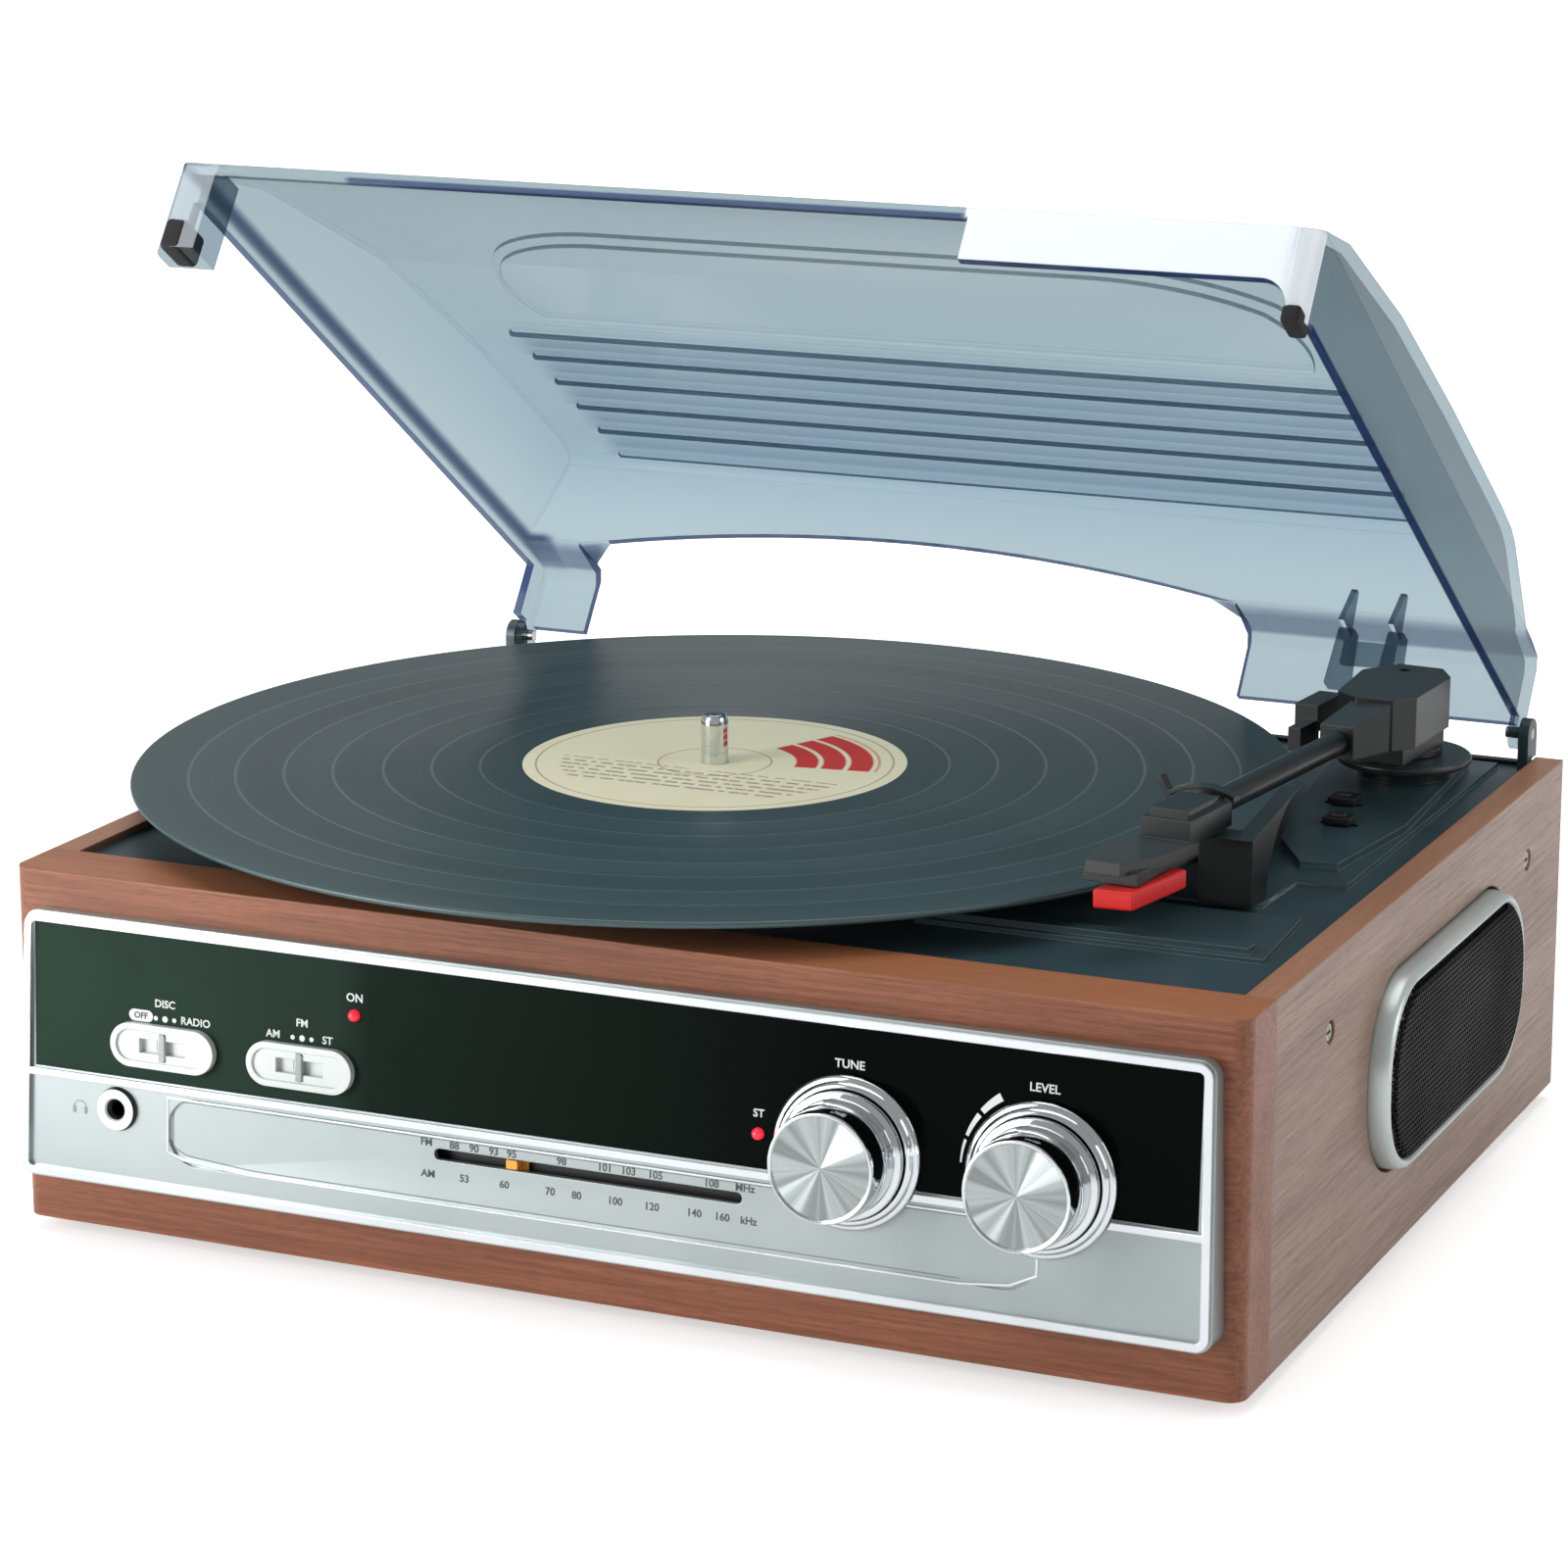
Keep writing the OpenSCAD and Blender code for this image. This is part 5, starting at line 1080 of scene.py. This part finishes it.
record_mesh = turned_mesh("record", record_profile(), upright(PLATTER_AXIS, record_low.z), 256)
add_piece("record_disc", record_mesh, "turntable", VINYL, ("record",))
print("record radius in mm:", round(RECORD_R, 2))

# %% [markdown]
# ## Knobs and their bezels
# Each knob has a stepped chrome skirt, a polished barrel and a spun face with a bright rim. The
# tuning joint gives the axis that both knobs turn on, so their frame comes from it.

# %% Knobs
KNOB_R = 15.3
KNOB_FACE_R = 12.7
KNOB_REACH = 16.5
SHAFT_R = 3
SHAFT_DEPTH = 21.6
BEZEL_R = 18.5
BEZEL_H = 3.2


def knob_place(joint_name):
    """A frame whose z leaves the fascia along the knob's axis."""
    joint = joints[joint_name]
    outward = -Vector(joint["axis"]).normalized()
    right = Vector((1, 0, 0))
    up = outward.cross(right)
    turn = Matrix((right, up, outward)).transposed().to_4x4()
    return Matrix.Translation(Vector(joint["pos_m"])) @ turn


KNOB_PROFILE = [
    (SHAFT_R, -SHAFT_DEPTH), (SHAFT_R, 0.6), (KNOB_R - 0.5, 0.6), (KNOB_R, 1.0),
    (KNOB_R, BEZEL_H + 0.9), (KNOB_R - 0.2, BEZEL_H + 1.4), (KNOB_R - 0.9, BEZEL_H + 1.7),
    (KNOB_R - 1.5, BEZEL_H + 1.9), (KNOB_R - 1.7, BEZEL_H + 2.4), (KNOB_R - 1.8, BEZEL_H + 5.5),
    (KNOB_R - 1.6, BEZEL_H + 5.9), (KNOB_R - 1.6, BEZEL_H + 6.6), (KNOB_R - 1.9, BEZEL_H + 7.0),
    (KNOB_R - 2.0, KNOB_REACH - 2.2), (KNOB_R - 2.1, KNOB_REACH - 0.9),
    (KNOB_FACE_R + 0.25, KNOB_REACH - 0.1), (KNOB_FACE_R, KNOB_REACH),
    (KNOB_FACE_R - 0.45, KNOB_REACH - 0.15), (KNOB_FACE_R - 0.6, KNOB_REACH - 0.6),
]
FACE_PROFILE = [(KNOB_FACE_R - 0.6, KNOB_REACH - 0.6), (KNOB_FACE_R - 0.7, KNOB_REACH - 0.5)]
FACE_PROFILE += [((KNOB_FACE_R - 0.7) * share, KNOB_REACH - 0.5)
                 for share in (0.85, 0.7, 0.55, 0.4, 0.25, 0.12, 0.04, 0.0)]
BEZEL_PROFILE = [
    (KNOB_R + 0.3, 0.05), (BEZEL_R, 0.05), (BEZEL_R, 0.9), (BEZEL_R - 0.25, 1.5),
    (BEZEL_R - 0.8, 1.9), (BEZEL_R - 1.3, 1.95), (BEZEL_R - 1.5, 2.3), (BEZEL_R - 1.9, 2.9),
    (BEZEL_R - 2.4, BEZEL_H), (KNOB_R + 0.5, BEZEL_H), (KNOB_R + 0.3, BEZEL_H - 0.2),
    (KNOB_R + 0.3, 0.05)]


def make_knob(name, joint_name, body, node, bezel_node):
    place = knob_place(joint_name)
    barrel = turned_mesh(name, KNOB_PROFILE + FACE_PROFILE[1:2], place)
    add_piece(name + "_barrel", barrel, body, CHROME, (node,))
    face = turned_mesh(name + "_face", FACE_PROFILE, place)
    add_piece(name + "_face", face, body, SPUN)
    bezel = turned_mesh(name + "_bezel", BEZEL_PROFILE, place)
    add_piece(name + "_ring", bezel, "cabinet", CHROME, (bezel_node,))


make_knob("tuning", "tuning_turn", "tuning", "tuning_knob", "tuning_bezel")
make_knob("volume", "volume_turn", "volume", "volume_knob", "volume_bezel")
print("knobs ready")

# %% [markdown]
# ## Speaker grilles
# The mesh is a steel sheet with thousands of small staggered holes and a rolled edge. Geometry
# Nodes lay six-sided cells, each with a round hole, on a staggered grid, keep those inside the
# outline, and bend the sheet down near its edge. The same tree makes both sides.

# %% Perforated sheet in Geometry Nodes


def geometry_tree(name, inputs):
    tree = bpy.data.node_groups.new(name, "GeometryNodeTree")
    for label, kind, default in inputs:
        socket = tree.interface.new_socket(name=label, in_out="INPUT", socket_type=kind)
        if default is not None:
            socket.default_value = default
    tree.interface.new_socket(name="Geometry", in_out="OUTPUT", socket_type="NodeSocketGeometry")
    return tree, tree.nodes.new("NodeGroupInput"), tree.nodes.new("NodeGroupOutput")


def edge_distance(tree, position, half_length, half_height, corner):
    """How far a point lies outside the rounded outline; negative inside."""
    split = add_node(tree, "ShaderNodeSeparateXYZ", {0: position})
    reach = []
    for axis, half in ((0, half_length), (1, half_height)):
        inner = calc(tree, "SUBTRACT", half, corner)
        reach.append(calc(tree, "SUBTRACT", calc(tree, "ABSOLUTE", split.outputs[axis]), inner))
    outside = [calc(tree, "MAXIMUM", value, 0.0) for value in reach]
    length = calc(tree, "SQRT", calc(tree, "MULTIPLY_ADD", outside[0], outside[0],
                                     calc(tree, "MULTIPLY", outside[1], outside[1])))
    inside = calc(tree, "MINIMUM", calc(tree, "MAXIMUM", reach[0], reach[1]), 0.0)
    return calc(tree, "SUBTRACT", calc(tree, "ADD", length, inside), corner)


def build_mesh_tree():
    tree, source, target = geometry_tree("punched_sheet", [
        ("Length", "NodeSocketFloat", 0.1), ("Height", "NodeSocketFloat", 0.04),
        ("Corner", "NodeSocketFloat", 0.02), ("Pitch", "NodeSocketFloat", 0.0016),
        ("Hole Radius", "NodeSocketFloat", 0.0005), ("Roll", "NodeSocketFloat", 0.002),
        ("Material", "NodeSocketMaterial", None)])
    given = source.outputs
    half_length = calc(tree, "MULTIPLY", given["Length"], 0.5)
    half_height = calc(tree, "MULTIPLY", given["Height"], 0.5)
    row_pitch = calc(tree, "MULTIPLY", given["Pitch"], math.sqrt(3) / 2)
    columns = calc(tree, "CEIL", calc(tree, "DIVIDE", given["Length"], given["Pitch"]))
    rows = calc(tree, "CEIL", calc(tree, "DIVIDE", given["Height"], row_pitch))
    total = calc(tree, "MULTIPLY", calc(tree, "ADD", columns, 1.0), calc(tree, "ADD", rows, 1.0))
    index = add_node(tree, "GeometryNodeInputIndex").outputs[0]
    row = calc(tree, "FLOOR", calc(tree, "DIVIDE", index, calc(tree, "ADD", columns, 1.0)))
    column = calc(tree, "SUBTRACT", index,
                  calc(tree, "MULTIPLY", row, calc(tree, "ADD", columns, 1.0)))
    shift = calc(tree, "MULTIPLY", calc(tree, "MODULO", row, 2.0), 0.5)
    x = calc(tree, "SUBTRACT", calc(tree, "MULTIPLY", calc(tree, "ADD", column, shift),
                                    given["Pitch"]), half_length)
    y = calc(tree, "SUBTRACT", calc(tree, "MULTIPLY", row, row_pitch), half_height)
    where = add_node(tree, "ShaderNodeCombineXYZ", {0: x, 1: y}).outputs[0]
    points = add_node(tree, "GeometryNodePoints", {"Count": total, "Position": where})
    position = add_node(tree, "GeometryNodeInputPosition").outputs[0]
    distance = edge_distance(tree, position, half_length, half_height, given["Corner"])
    outside = add_node(tree, "FunctionNodeCompare", {0: distance, 1: 0.0},
                       data_type="FLOAT", operation="GREATER_THAN").outputs[0]
    kept = add_node(tree, "GeometryNodeDeleteGeometry",
                    {"Geometry": points.outputs[0], "Selection": outside}, domain="POINT")
    cell_radius = calc(tree, "MULTIPLY", given["Pitch"], 1 / math.sqrt(3))
    border = add_node(tree, "GeometryNodeCurvePrimitiveCircle",
                      {"Resolution": 6, "Radius": cell_radius}, mode="RADIUS")
    turned = add_node(tree, "GeometryNodeTransform",
                      {"Geometry": border.outputs[0], "Rotation": (0, 0, math.radians(30))})
    hole = add_node(tree, "GeometryNodeCurvePrimitiveCircle",
                    {"Resolution": 8, "Radius": given["Hole Radius"]}, mode="RADIUS")
    both = add_node(tree, "GeometryNodeJoinGeometry")
    tree.links.new(turned.outputs[0], both.inputs[0])
    tree.links.new(hole.outputs[0], both.inputs[0])
    plate = add_node(tree, "GeometryNodeFillCurve", {"Curve": both.outputs[0]})
    wall = add_node(tree, "GeometryNodeMeshCylinder",
                    {"Vertices": 8, "Radius": given["Hole Radius"], "Depth": 0.6 * MM},
                    fill_type="NONE")
    lowered = add_node(tree, "GeometryNodeTransform",
                       {"Geometry": wall.outputs["Mesh"], "Translation": (0, 0, -0.3 * MM)})
    cell = add_node(tree, "GeometryNodeJoinGeometry")
    tree.links.new(plate.outputs[0], cell.inputs[0])
    tree.links.new(lowered.outputs[0], cell.inputs[0])
    copies = add_node(tree, "GeometryNodeInstanceOnPoints",
                      {"Points": kept.outputs[0], "Instance": cell.outputs[0]})
    solid = add_node(tree, "GeometryNodeRealizeInstances", {"Geometry": copies.outputs[0]})
    position = add_node(tree, "GeometryNodeInputPosition").outputs[0]
    distance = edge_distance(tree, position, half_length, half_height, given["Corner"])
    inward = calc(tree, "MAXIMUM", calc(tree, "ADD", distance, given["Roll"]), 0.0)
    share = calc(tree, "MINIMUM", calc(tree, "DIVIDE", inward, given["Roll"]), 1.0)
    drop = calc(tree, "MULTIPLY", calc(tree, "SUBTRACT", 1.0, calc(tree, "SQRT", calc(
        tree, "SUBTRACT", 1.0001, calc(tree, "MULTIPLY", share, share)))), given["Roll"])
    offset = add_node(tree, "ShaderNodeCombineXYZ", {2: calc(tree, "MULTIPLY", drop, -1.0)})
    bent = add_node(tree, "GeometryNodeSetPosition",
                    {"Geometry": solid.outputs[0], "Offset": offset.outputs[0]})
    painted = add_node(tree, "GeometryNodeSetMaterial",
                       {"Geometry": bent.outputs[0], "Material": given["Material"]})
    tree.links.new(painted.outputs[0], target.inputs[0])
    return tree


def run_tree(tree, settings):
    """Puts a tree on an empty mesh with the given inputs, and returns the plain mesh it makes."""
    helper = linked_object("helper", bpy.data.meshes.new("helper"))
    modifier = helper.modifiers.new("nodes", "NODES")
    modifier.node_group = tree
    for item in tree.interface.items_tree:
        if item.in_out == "INPUT" and item.name in settings:
            modifier[item.identifier] = settings[item.name]
    return apply_modifiers(helper)


MESH_TREE = build_mesh_tree()
print("nodes in the punched sheet:", len(MESH_TREE.nodes))

# %% Grilles and bezels on both sides
RING_HALF = (59.8, 25.1)
RING_R = 22.6
RING_PROFILE = [(0, -6), (0, 0.6), (0.35, 3.2), (0.9, 4.3), (1.6, 4.9), (2.3, 5.0), (2.9, 4.6),
                (3.2, 3.8), (3.2, -6)]
SHEET_INSET = 3.3
SHEET_OUT = 5.8
CAB_HALF = 161


def rounded_outline(half_length, half_height, radius, steps=14):
    points = []
    for quarter, (along, up) in enumerate(((1, 1), (-1, 1), (-1, -1), (1, -1))):
        for step in range(steps + 1):
            angle = math.radians(90) * (quarter + step / steps)
            points.append((along * (half_length - radius) + radius * math.cos(angle),
                           up * (half_height - radius) + radius * math.sin(angle)))
    return points


def side_place(side, node):
    """A frame whose z leaves the cabinet's side at the middle of the speaker."""
    low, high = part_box(node)
    middle = (low + high) / 2
    turn = Matrix(((0, 0, side), (side, 0, 0), (0, 1, 0))).to_4x4()
    return Matrix.Translation(Vector((side * CAB_HALF * MM, middle.y, middle.z))) @ turn


def lofted_ring(name, half, radius, profile, place):
    """A closed ring: rounded outlines, each set in by an offset and raised to a height."""
    maker = bmesh.new()
    rows = []
    for offset, height in profile:
        outline = rounded_outline(half[0] - offset, half[1] - offset, radius - offset)
        rows.append([maker.verts.new(place @ Vector((x * MM, y * MM, height * MM))) for x, y in outline])
    for row, following in zip(rows, rows[1:] + rows[:1]):
        for index in range(len(row)):
            after = (index + 1) % len(row)
            maker.faces.new([row[index], row[after], following[after], following[index]])
    bmesh.ops.recalc_face_normals(maker, faces=maker.faces)
    return even_normals(mesh_from(maker, name), 40)


def grille(side, name):
    place = side_place(side, "grille_" + name)
    mesh = run_tree(MESH_TREE, {
        "Length": 2 * (RING_HALF[0] - SHEET_INSET) * MM, "Height": 2 * (RING_HALF[1] - SHEET_INSET) * MM,
        "Corner": (RING_R - SHEET_INSET) * MM, "Pitch": 1.6 * MM, "Hole Radius": 0.52 * MM,
        "Roll": 2.2 * MM, "Material": MESH_BLACK})
    mesh.transform(place @ Matrix.Translation((0, 0, SHEET_OUT * MM)))
    add_piece("grille_" + name + "_mesh", mesh, "cabinet", MESH_BLACK, ("grille_" + name,))
    ring = lofted_ring("ring", RING_HALF, RING_R, RING_PROFILE, place)
    add_piece("speaker_ring_" + name, ring, "cabinet", RING_SILVER,
              ("speaker_bezel_" + name,))
    return len(mesh.polygons)


for side, side_name in ((1, "right"), (-1, "left")):
    print("faces in the", side_name, "grille:", grille(side, side_name))

# %% [markdown]
# ## The leaning face
# The fascia leans back a little. Everything on it is placed by three numbers: how far right, how
# far up the face and how far out of it. A bright bead runs round the dial recess, and a thin grey
# line just inside it paints the shadow under the recess's edge; both are drawn as lines with a
# width and mitred corners.

# %% The leaning face
OUTWARD = -Vector(joints["tuning_turn"]["axis"]).normalized()
RIGHT = Vector((1, 0, 0))
UP_FACE = OUTWARD.cross(RIGHT)
KNOB_UP = 35.3
FACE_ORIGIN = Vector(joints["tuning_turn"]["pos_m"])
FACE_ORIGIN = FACE_ORIGIN - UP_FACE * KNOB_UP * MM
FACE_ORIGIN.x = 0
RECESS = 0.8
PRINT_T = 0.04


def on_face(x, up, out=0.0):
    """A frame on the fascia, x right, y up the face and z out of it; sizes in mm."""
    turn = Matrix((RIGHT, UP_FACE, OUTWARD)).transposed().to_4x4()
    place = FACE_ORIGIN + RIGHT * x * MM + UP_FACE * up * MM + OUTWARD * out * MM
    return Matrix.Translation(place) @ turn


def text_mesh(words, size, place, spread=1.0):
    curve = bpy.data.curves.new("text", "FONT")
    curve.body = words
    curve.size = size * MM
    curve.align_x = "CENTER"
    curve.align_y = "CENTER"
    curve.extrude = PRINT_T * MM / 2
    curve.resolution_u = 3
    curve.offset = 0.06 * MM
    curve.space_character = spread
    mesh = apply_modifiers(linked_object("helper", curve))
    mesh.transform(place)
    return mesh


def bead_outline(path, half_width):
    """The outline of a line with a width: its points set off to both sides, mitred."""
    left = []
    right = []
    points = [Vector(point) for point in path]
    for index, point in enumerate(points):
        before = (point - points[max(index - 1, 0)]).normalized()
        after = (points[min(index + 1, len(points) - 1)] - point).normalized()
        along = (before + after).normalized()
        side = Vector((-along.y, along.x))
        straight = after if index == 0 else before
        reach = half_width / max(side.dot(Vector((-straight.y, straight.x))), 0.5)
        left.append(point + side * reach)
        right.append(point - side * reach)
    return [tuple(point) for point in left + right[::-1]]


# %% Bead and painted shadow line round the dial recess
TRIM = [(114, 24.6), (-114.5, 24.6), (-114.5, 11), (-110, 9.4), (-91, 8), (95, 8), (107.5, 9.3),
        (114, 12.4), (114, 16.5)]
RECESS_SHADOW_LINE = [(112, 23.9), (-113.3, 23.9), (-113.3, 12.2), (-109.6, 10.4), (-91, 9), (95, 9)]
bead = prism_mesh(bead_outline(TRIM, 0.3), -RECESS, 0.15, on_face(0, 0))
add_piece("dial_trim", even_normals(bead), "cabinet", BRIGHT)
# painted shadow: a thin grey line on the recess floor along its edge
inner = prism_mesh(bead_outline(RECESS_SHADOW_LINE, 0.12), -RECESS - 0.02, PRINT_T - RECESS, on_face(0, 0))
add_piece("dial_shadow_line", inner, "cabinet", PRINT_PALE)
print("dial trim ready")

# %% [markdown]
# ## Slide switches and headphone socket
# Each switch has a pale plate that slides with it and shows in its window's slot, a thin ridge
# across it and a small oval mark. The socket is silver with a dark line round it and a black bore.

# %% Switch plates and ridges
WINDOW_UP = 37.3
SWITCH_XS = {"function": -115.1, "band": -76.8}
PLATE_HALF = (8.7, 3.6)
PLATE_OUT = (-0.55, -0.25)
RIDGE_HALF = (0.9, 3.5)
RIDGE_OUT = (-0.4, 1.9)
MARK_HALF = (0.6, 1.5)
MARK_LEFT = 2.1
MARK_OUT = -0.26
SOCKET_UP = 20
SOCKET_BORE_R = 2.6
SOCKET_RIM_R = 5.15


def switch_plate(name, x):
    """A sliding plate, its ridge and its mark, all on the lever's body."""
    body = body_of_node(name + "_lever")
    place = on_face(x, WINDOW_UP)
    outline = rounded_outline(*PLATE_HALF, PLATE_HALF[1], 8)
    plate = prism_mesh(outline, *PLATE_OUT, place)
    add_piece(name + "_plate", even_normals(plate), body, SWITCH_GREY)
    ridge = prism_mesh(rounded_outline(*RIDGE_HALF, 0.4, 3), *RIDGE_OUT, place, 0.25)
    add_piece(name + "_ridge", even_normals(ridge), body, LEVER_GREY,
              (name + "_lever",))
    mark = lofted_ring("mark", MARK_HALF, MARK_HALF[0], [(0, 0), (0, 0.1), (0.3, 0.1), (0.3, 0)],
                       on_face(x - MARK_LEFT, WINDOW_UP, MARK_OUT))
    add_piece(name + "_mark", mark, body, PRINT_WHITE)


def socket_finish(centre):
    material, tree, shader, place = start_material(
        "socket_silver", {"Roughness": 0.35, "Metallic": 0.3})
    offset = add_node(tree, "ShaderNodeVectorMath", {0: place, 1: -centre}, operation="ADD").outputs[0]
    across = add_node(tree, "ShaderNodeVectorMath", {0: offset, 1: OUTWARD},
                      operation="CROSS_PRODUCT").outputs[0]
    radius = add_node(tree, "ShaderNodeVectorMath", {0: across}, operation="LENGTH").outputs["Value"]
    skin = place_group(tree, MOULDING, {"Vector": place, "Fineness": 2.0})
    tone = blend_colour(tree, skin.outputs["Cloud"], colour(198, 206, 205), colour(214, 221, 219))
    rim = remap(tree, radius, (SOCKET_RIM_R - 0.05) * MM, (SOCKET_RIM_R + 0.05) * MM)
    bore = remap(tree, radius, (SOCKET_BORE_R + 0.1) * MM, (SOCKET_BORE_R - 0.1) * MM)
    tone = blend_colour(tree, rim, tone, colour(40, 45, 45))
    tone = blend_colour(tree, bore, tone, colour(6, 8, 8))
    tree.links.new(tone, shader.inputs["Base Color"])
    return material


for name, lever_x in SWITCH_XS.items():
    switch_plate(name, lever_x)
socket_low, socket_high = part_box("headphone_socket")
SOCKET_X = (socket_low.x + socket_high.x) / 2 / MM
SOCKET_SILVER = socket_finish(on_face(SOCKET_X, SOCKET_UP).translation)
for node_slot in frame["nodes"]["headphone_socket"].material_slots:
    node_slot.material = SOCKET_SILVER
print("socket at x:", round(SOCKET_X, 1))

# %% [markdown]
# ## Printed marks
# The fascia carries only generic marks: plain numbers on the dial, plain words at the switches,
# dots, a volume wedge and a small headphone sign. Each is a flat text or outline turned into a
# mesh a few hundredths of a millimetre thick, laid on the leaning face.

# %% Dial numbers
FM_ROW = {"FM": -43.1, "88": -35.6, "90": -30.3, "93": -25.0, "95": -20.2, "98": -7.0,
          "101": 4.4, "103": 10.6, "105": 17.6, "108": 32.1, "MHz": 40.7}
AM_ROW = {"AM": -42.6, "53": -32.8, "60": -22.1, "70": -9.9, "80": -2.9, "100": 7.2,
          "120": 16.8, "140": 27.8, "160": 35.0, "kHz": 41.8}
FM_UP = 22.8
AM_UP = 15.0
NUMBER_SIZE = 2.6

numbers = [text_mesh(words, NUMBER_SIZE, on_face(x, up, PRINT_T - RECESS))
           for row, up in ((FM_ROW, FM_UP), (AM_ROW, AM_UP)) for words, x in row.items()]
add_piece("dial_numbers", join_meshes("dial_numbers", numbers), "cabinet", PRINT_GREY)
print("dial numbers:", len(numbers))

# %% White marks on the black panel
WHITE_WORDS = [("DISC", -115.1, 48.0, 2.7), ("RADIO", -106.5, 44.5, 2.7),
               ("AM", -84.8, 44.5, 2.7), ("FM", -76.8, 48.0, 2.7), ("ST", -69.8, 44.5, 2.7),
               ("ON", -62.4, 56.0, 2.9), ("ST", 44.2, 41.5, 2.7), ("TUNE", 66.8, 56.0, 2.9),
               ("LEVEL", 114.6, 56.5, 2.9)]
DOTS = [(x + step, 44.3, 0.8 if step == 0 else 0.6)
        for x in SWITCH_XS.values() for step in (-2.6, 0, 2.6)]
OFF_PLACE = (-121.9, 44.5)
SYMBOL_PLACE = (-139.5, 19)


def dot_mesh(x, up, radius):
    profile = [(0, 0), (radius, 0), (radius, PRINT_T), (0, PRINT_T)]
    return turned_mesh("dot", profile, on_face(x, up), 16)


def wedge_mesh(x, up, inner, start, end, first_width, last_width, steps=8):
    """A curved bar round a knob whose width grows from start to end, angles in degrees."""
    maker = bmesh.new()
    place = on_face(x, up, PRINT_T)
    edges = []
    for step in range(steps + 1):
        share = step / steps
        angle = math.radians(start + (end - start) * share)
        width = first_width + (last_width - first_width) * share
        edges.append([maker.verts.new(place @ (Vector((math.cos(angle), math.sin(angle), 0)) * radius * MM))
                      for radius in (inner, inner + width)])
    for first, second in zip(edges, edges[1:]):
        maker.faces.new([first[0], second[0], second[1], first[1]])
    bmesh.ops.recalc_face_normals(maker, faces=maker.faces)
    return mesh_from(maker, "wedge")


marks = [text_mesh(words, size, on_face(x, up, PRINT_T)) for words, x, up, size in WHITE_WORDS]
marks += [dot_mesh(x, up, radius) for x, up, radius in DOTS]
marks.append(prism_mesh(rounded_outline(3.4, 1.5, 1.5, 6), 0, PRINT_T, on_face(*OFF_PLACE)))
VOLUME_X = joints["volume_turn"]["pos_m"][0] / MM
for start, end, first, last in ((176, 160, 0.4, 0.7), (157, 140, 0.8, 1.3), (137, 120, 1.4, 2.0)):
    marks.append(wedge_mesh(VOLUME_X, KNOB_UP, BEZEL_R + 1.2, start, end, first, last))
add_piece("panel_marks", join_meshes("panel_marks", marks), "cabinet", PRINT_WHITE)
off_word = text_mesh("OFF", 2.2, on_face(*OFF_PLACE, 2 * PRINT_T))
add_piece("off_word", off_word, "cabinet", PRINT_GREY)
symbol_x, symbol_up = SYMBOL_PLACE
symbol = [wedge_mesh(symbol_x, symbol_up, 1.6, 0, 180, 0.3, 0.3)]
symbol += [prism_mesh(rounded_outline(0.5, 0.9, 0.4, 4), 0, PRINT_T, on_face(x, symbol_up - 0.6))
           for x in (symbol_x - 1.6, symbol_x + 1.6)]
add_piece("phones_symbol", join_meshes("phones_symbol", symbol), "cabinet", PRINT_PALE)
print("white marks:", len(marks))

# %% [markdown]
# ## Floor, world and lamps
# The floor and the world are white where the camera looks at them, also through the lid, and
# about half as strong where they light the object or are mirrored in it, so that the lamps shape
# it. The Light Path node tells those rays apart.

# %% Studio


def by_ray(tree, seen, mirrored, lighting):
    """One value for camera and transmission rays, one for glossy rays and one for the rest."""
    rays = add_node(tree, "ShaderNodeLightPath").outputs
    direct = calc(tree, "MAXIMUM", rays["Is Camera Ray"], rays["Is Transmission Ray"])
    glossy = remap(tree, rays["Is Glossy Ray"], 0.0, 1.0, lighting, mirrored)
    return calc(tree, "MULTIPLY_ADD", direct, calc(tree, "SUBTRACT", seen, glossy), glossy)


def build_world():
    world = bpy.data.worlds.new("studio")
    world.use_nodes = True
    tree = world.node_tree
    strength = by_ray(tree, 1.0, 0.38, 0.42)
    background = tree.nodes["Background"]
    background.inputs["Color"].default_value = (1, 1, 1, 1)
    tree.links.new(strength, background.inputs["Strength"])
    bpy.context.scene.world = world


def build_floor():
    maker = bmesh.new()
    bmesh.ops.create_grid(maker, x_segments=8, y_segments=8, size=6)
    mesh = mesh_from(maker, "floor")
    floor = linked_object("floor", mesh)
    material, tree, shader, place = start_material("floor", {"Roughness": 0.9})
    pale = blend_colour(tree, noise(tree, place, 3.0), (0.86, 0.86, 0.86, 1), (0.88, 0.88, 0.88, 1))
    tree.links.new(pale, shader.inputs["Base Color"])
    shader.inputs["Emission Color"].default_value = (1, 1, 1, 1)
    distance = add_node(tree, "ShaderNodeVectorMath", {0: place}, operation="LENGTH").outputs["Value"]
    lift = remap(tree, distance, 0.3, 0.9, 0.5, 1.0)
    tree.links.new(by_ray(tree, lift, 0.25, 0.0), shader.inputs["Emission Strength"])
    mesh.materials.append(material)


def softbox(name, place, target, width, height, watts):
    data = bpy.data.lights.new(name, "AREA")
    data.shape = "RECTANGLE"
    data.size = width
    data.size_y = height
    data.energy = watts
    lamp = linked_object(name, data)
    direction = Vector(target) - Vector(place)
    lamp.rotation_euler = direction.to_track_quat("-Z", "Y").to_euler()
    lamp.location = place


build_world()
build_floor()
softbox("top", (-0.1, 0.25, 1.5), (0, 0, 0.1), 1.4, 1.2, 12)
softbox("front_left", (-1.0, -1.3, 0.8), (0, 0, 0.08), 0.9, 0.7, 10)
softbox("low_left", (-0.62, -0.75, 0.16), (-0.14, -0.13, 0.06), 0.4, 0.3, 4.5)
softbox("right", (1.6, 0.2, 0.7), (0.15, 0, 0.06), 1.0, 0.8, 7)
bpy.context.scene.view_settings.view_transform = "Standard"
print("lamps:", len(bpy.data.lights))

# %% Count of the pieces made
print("pieces made:", len(pieces_made))
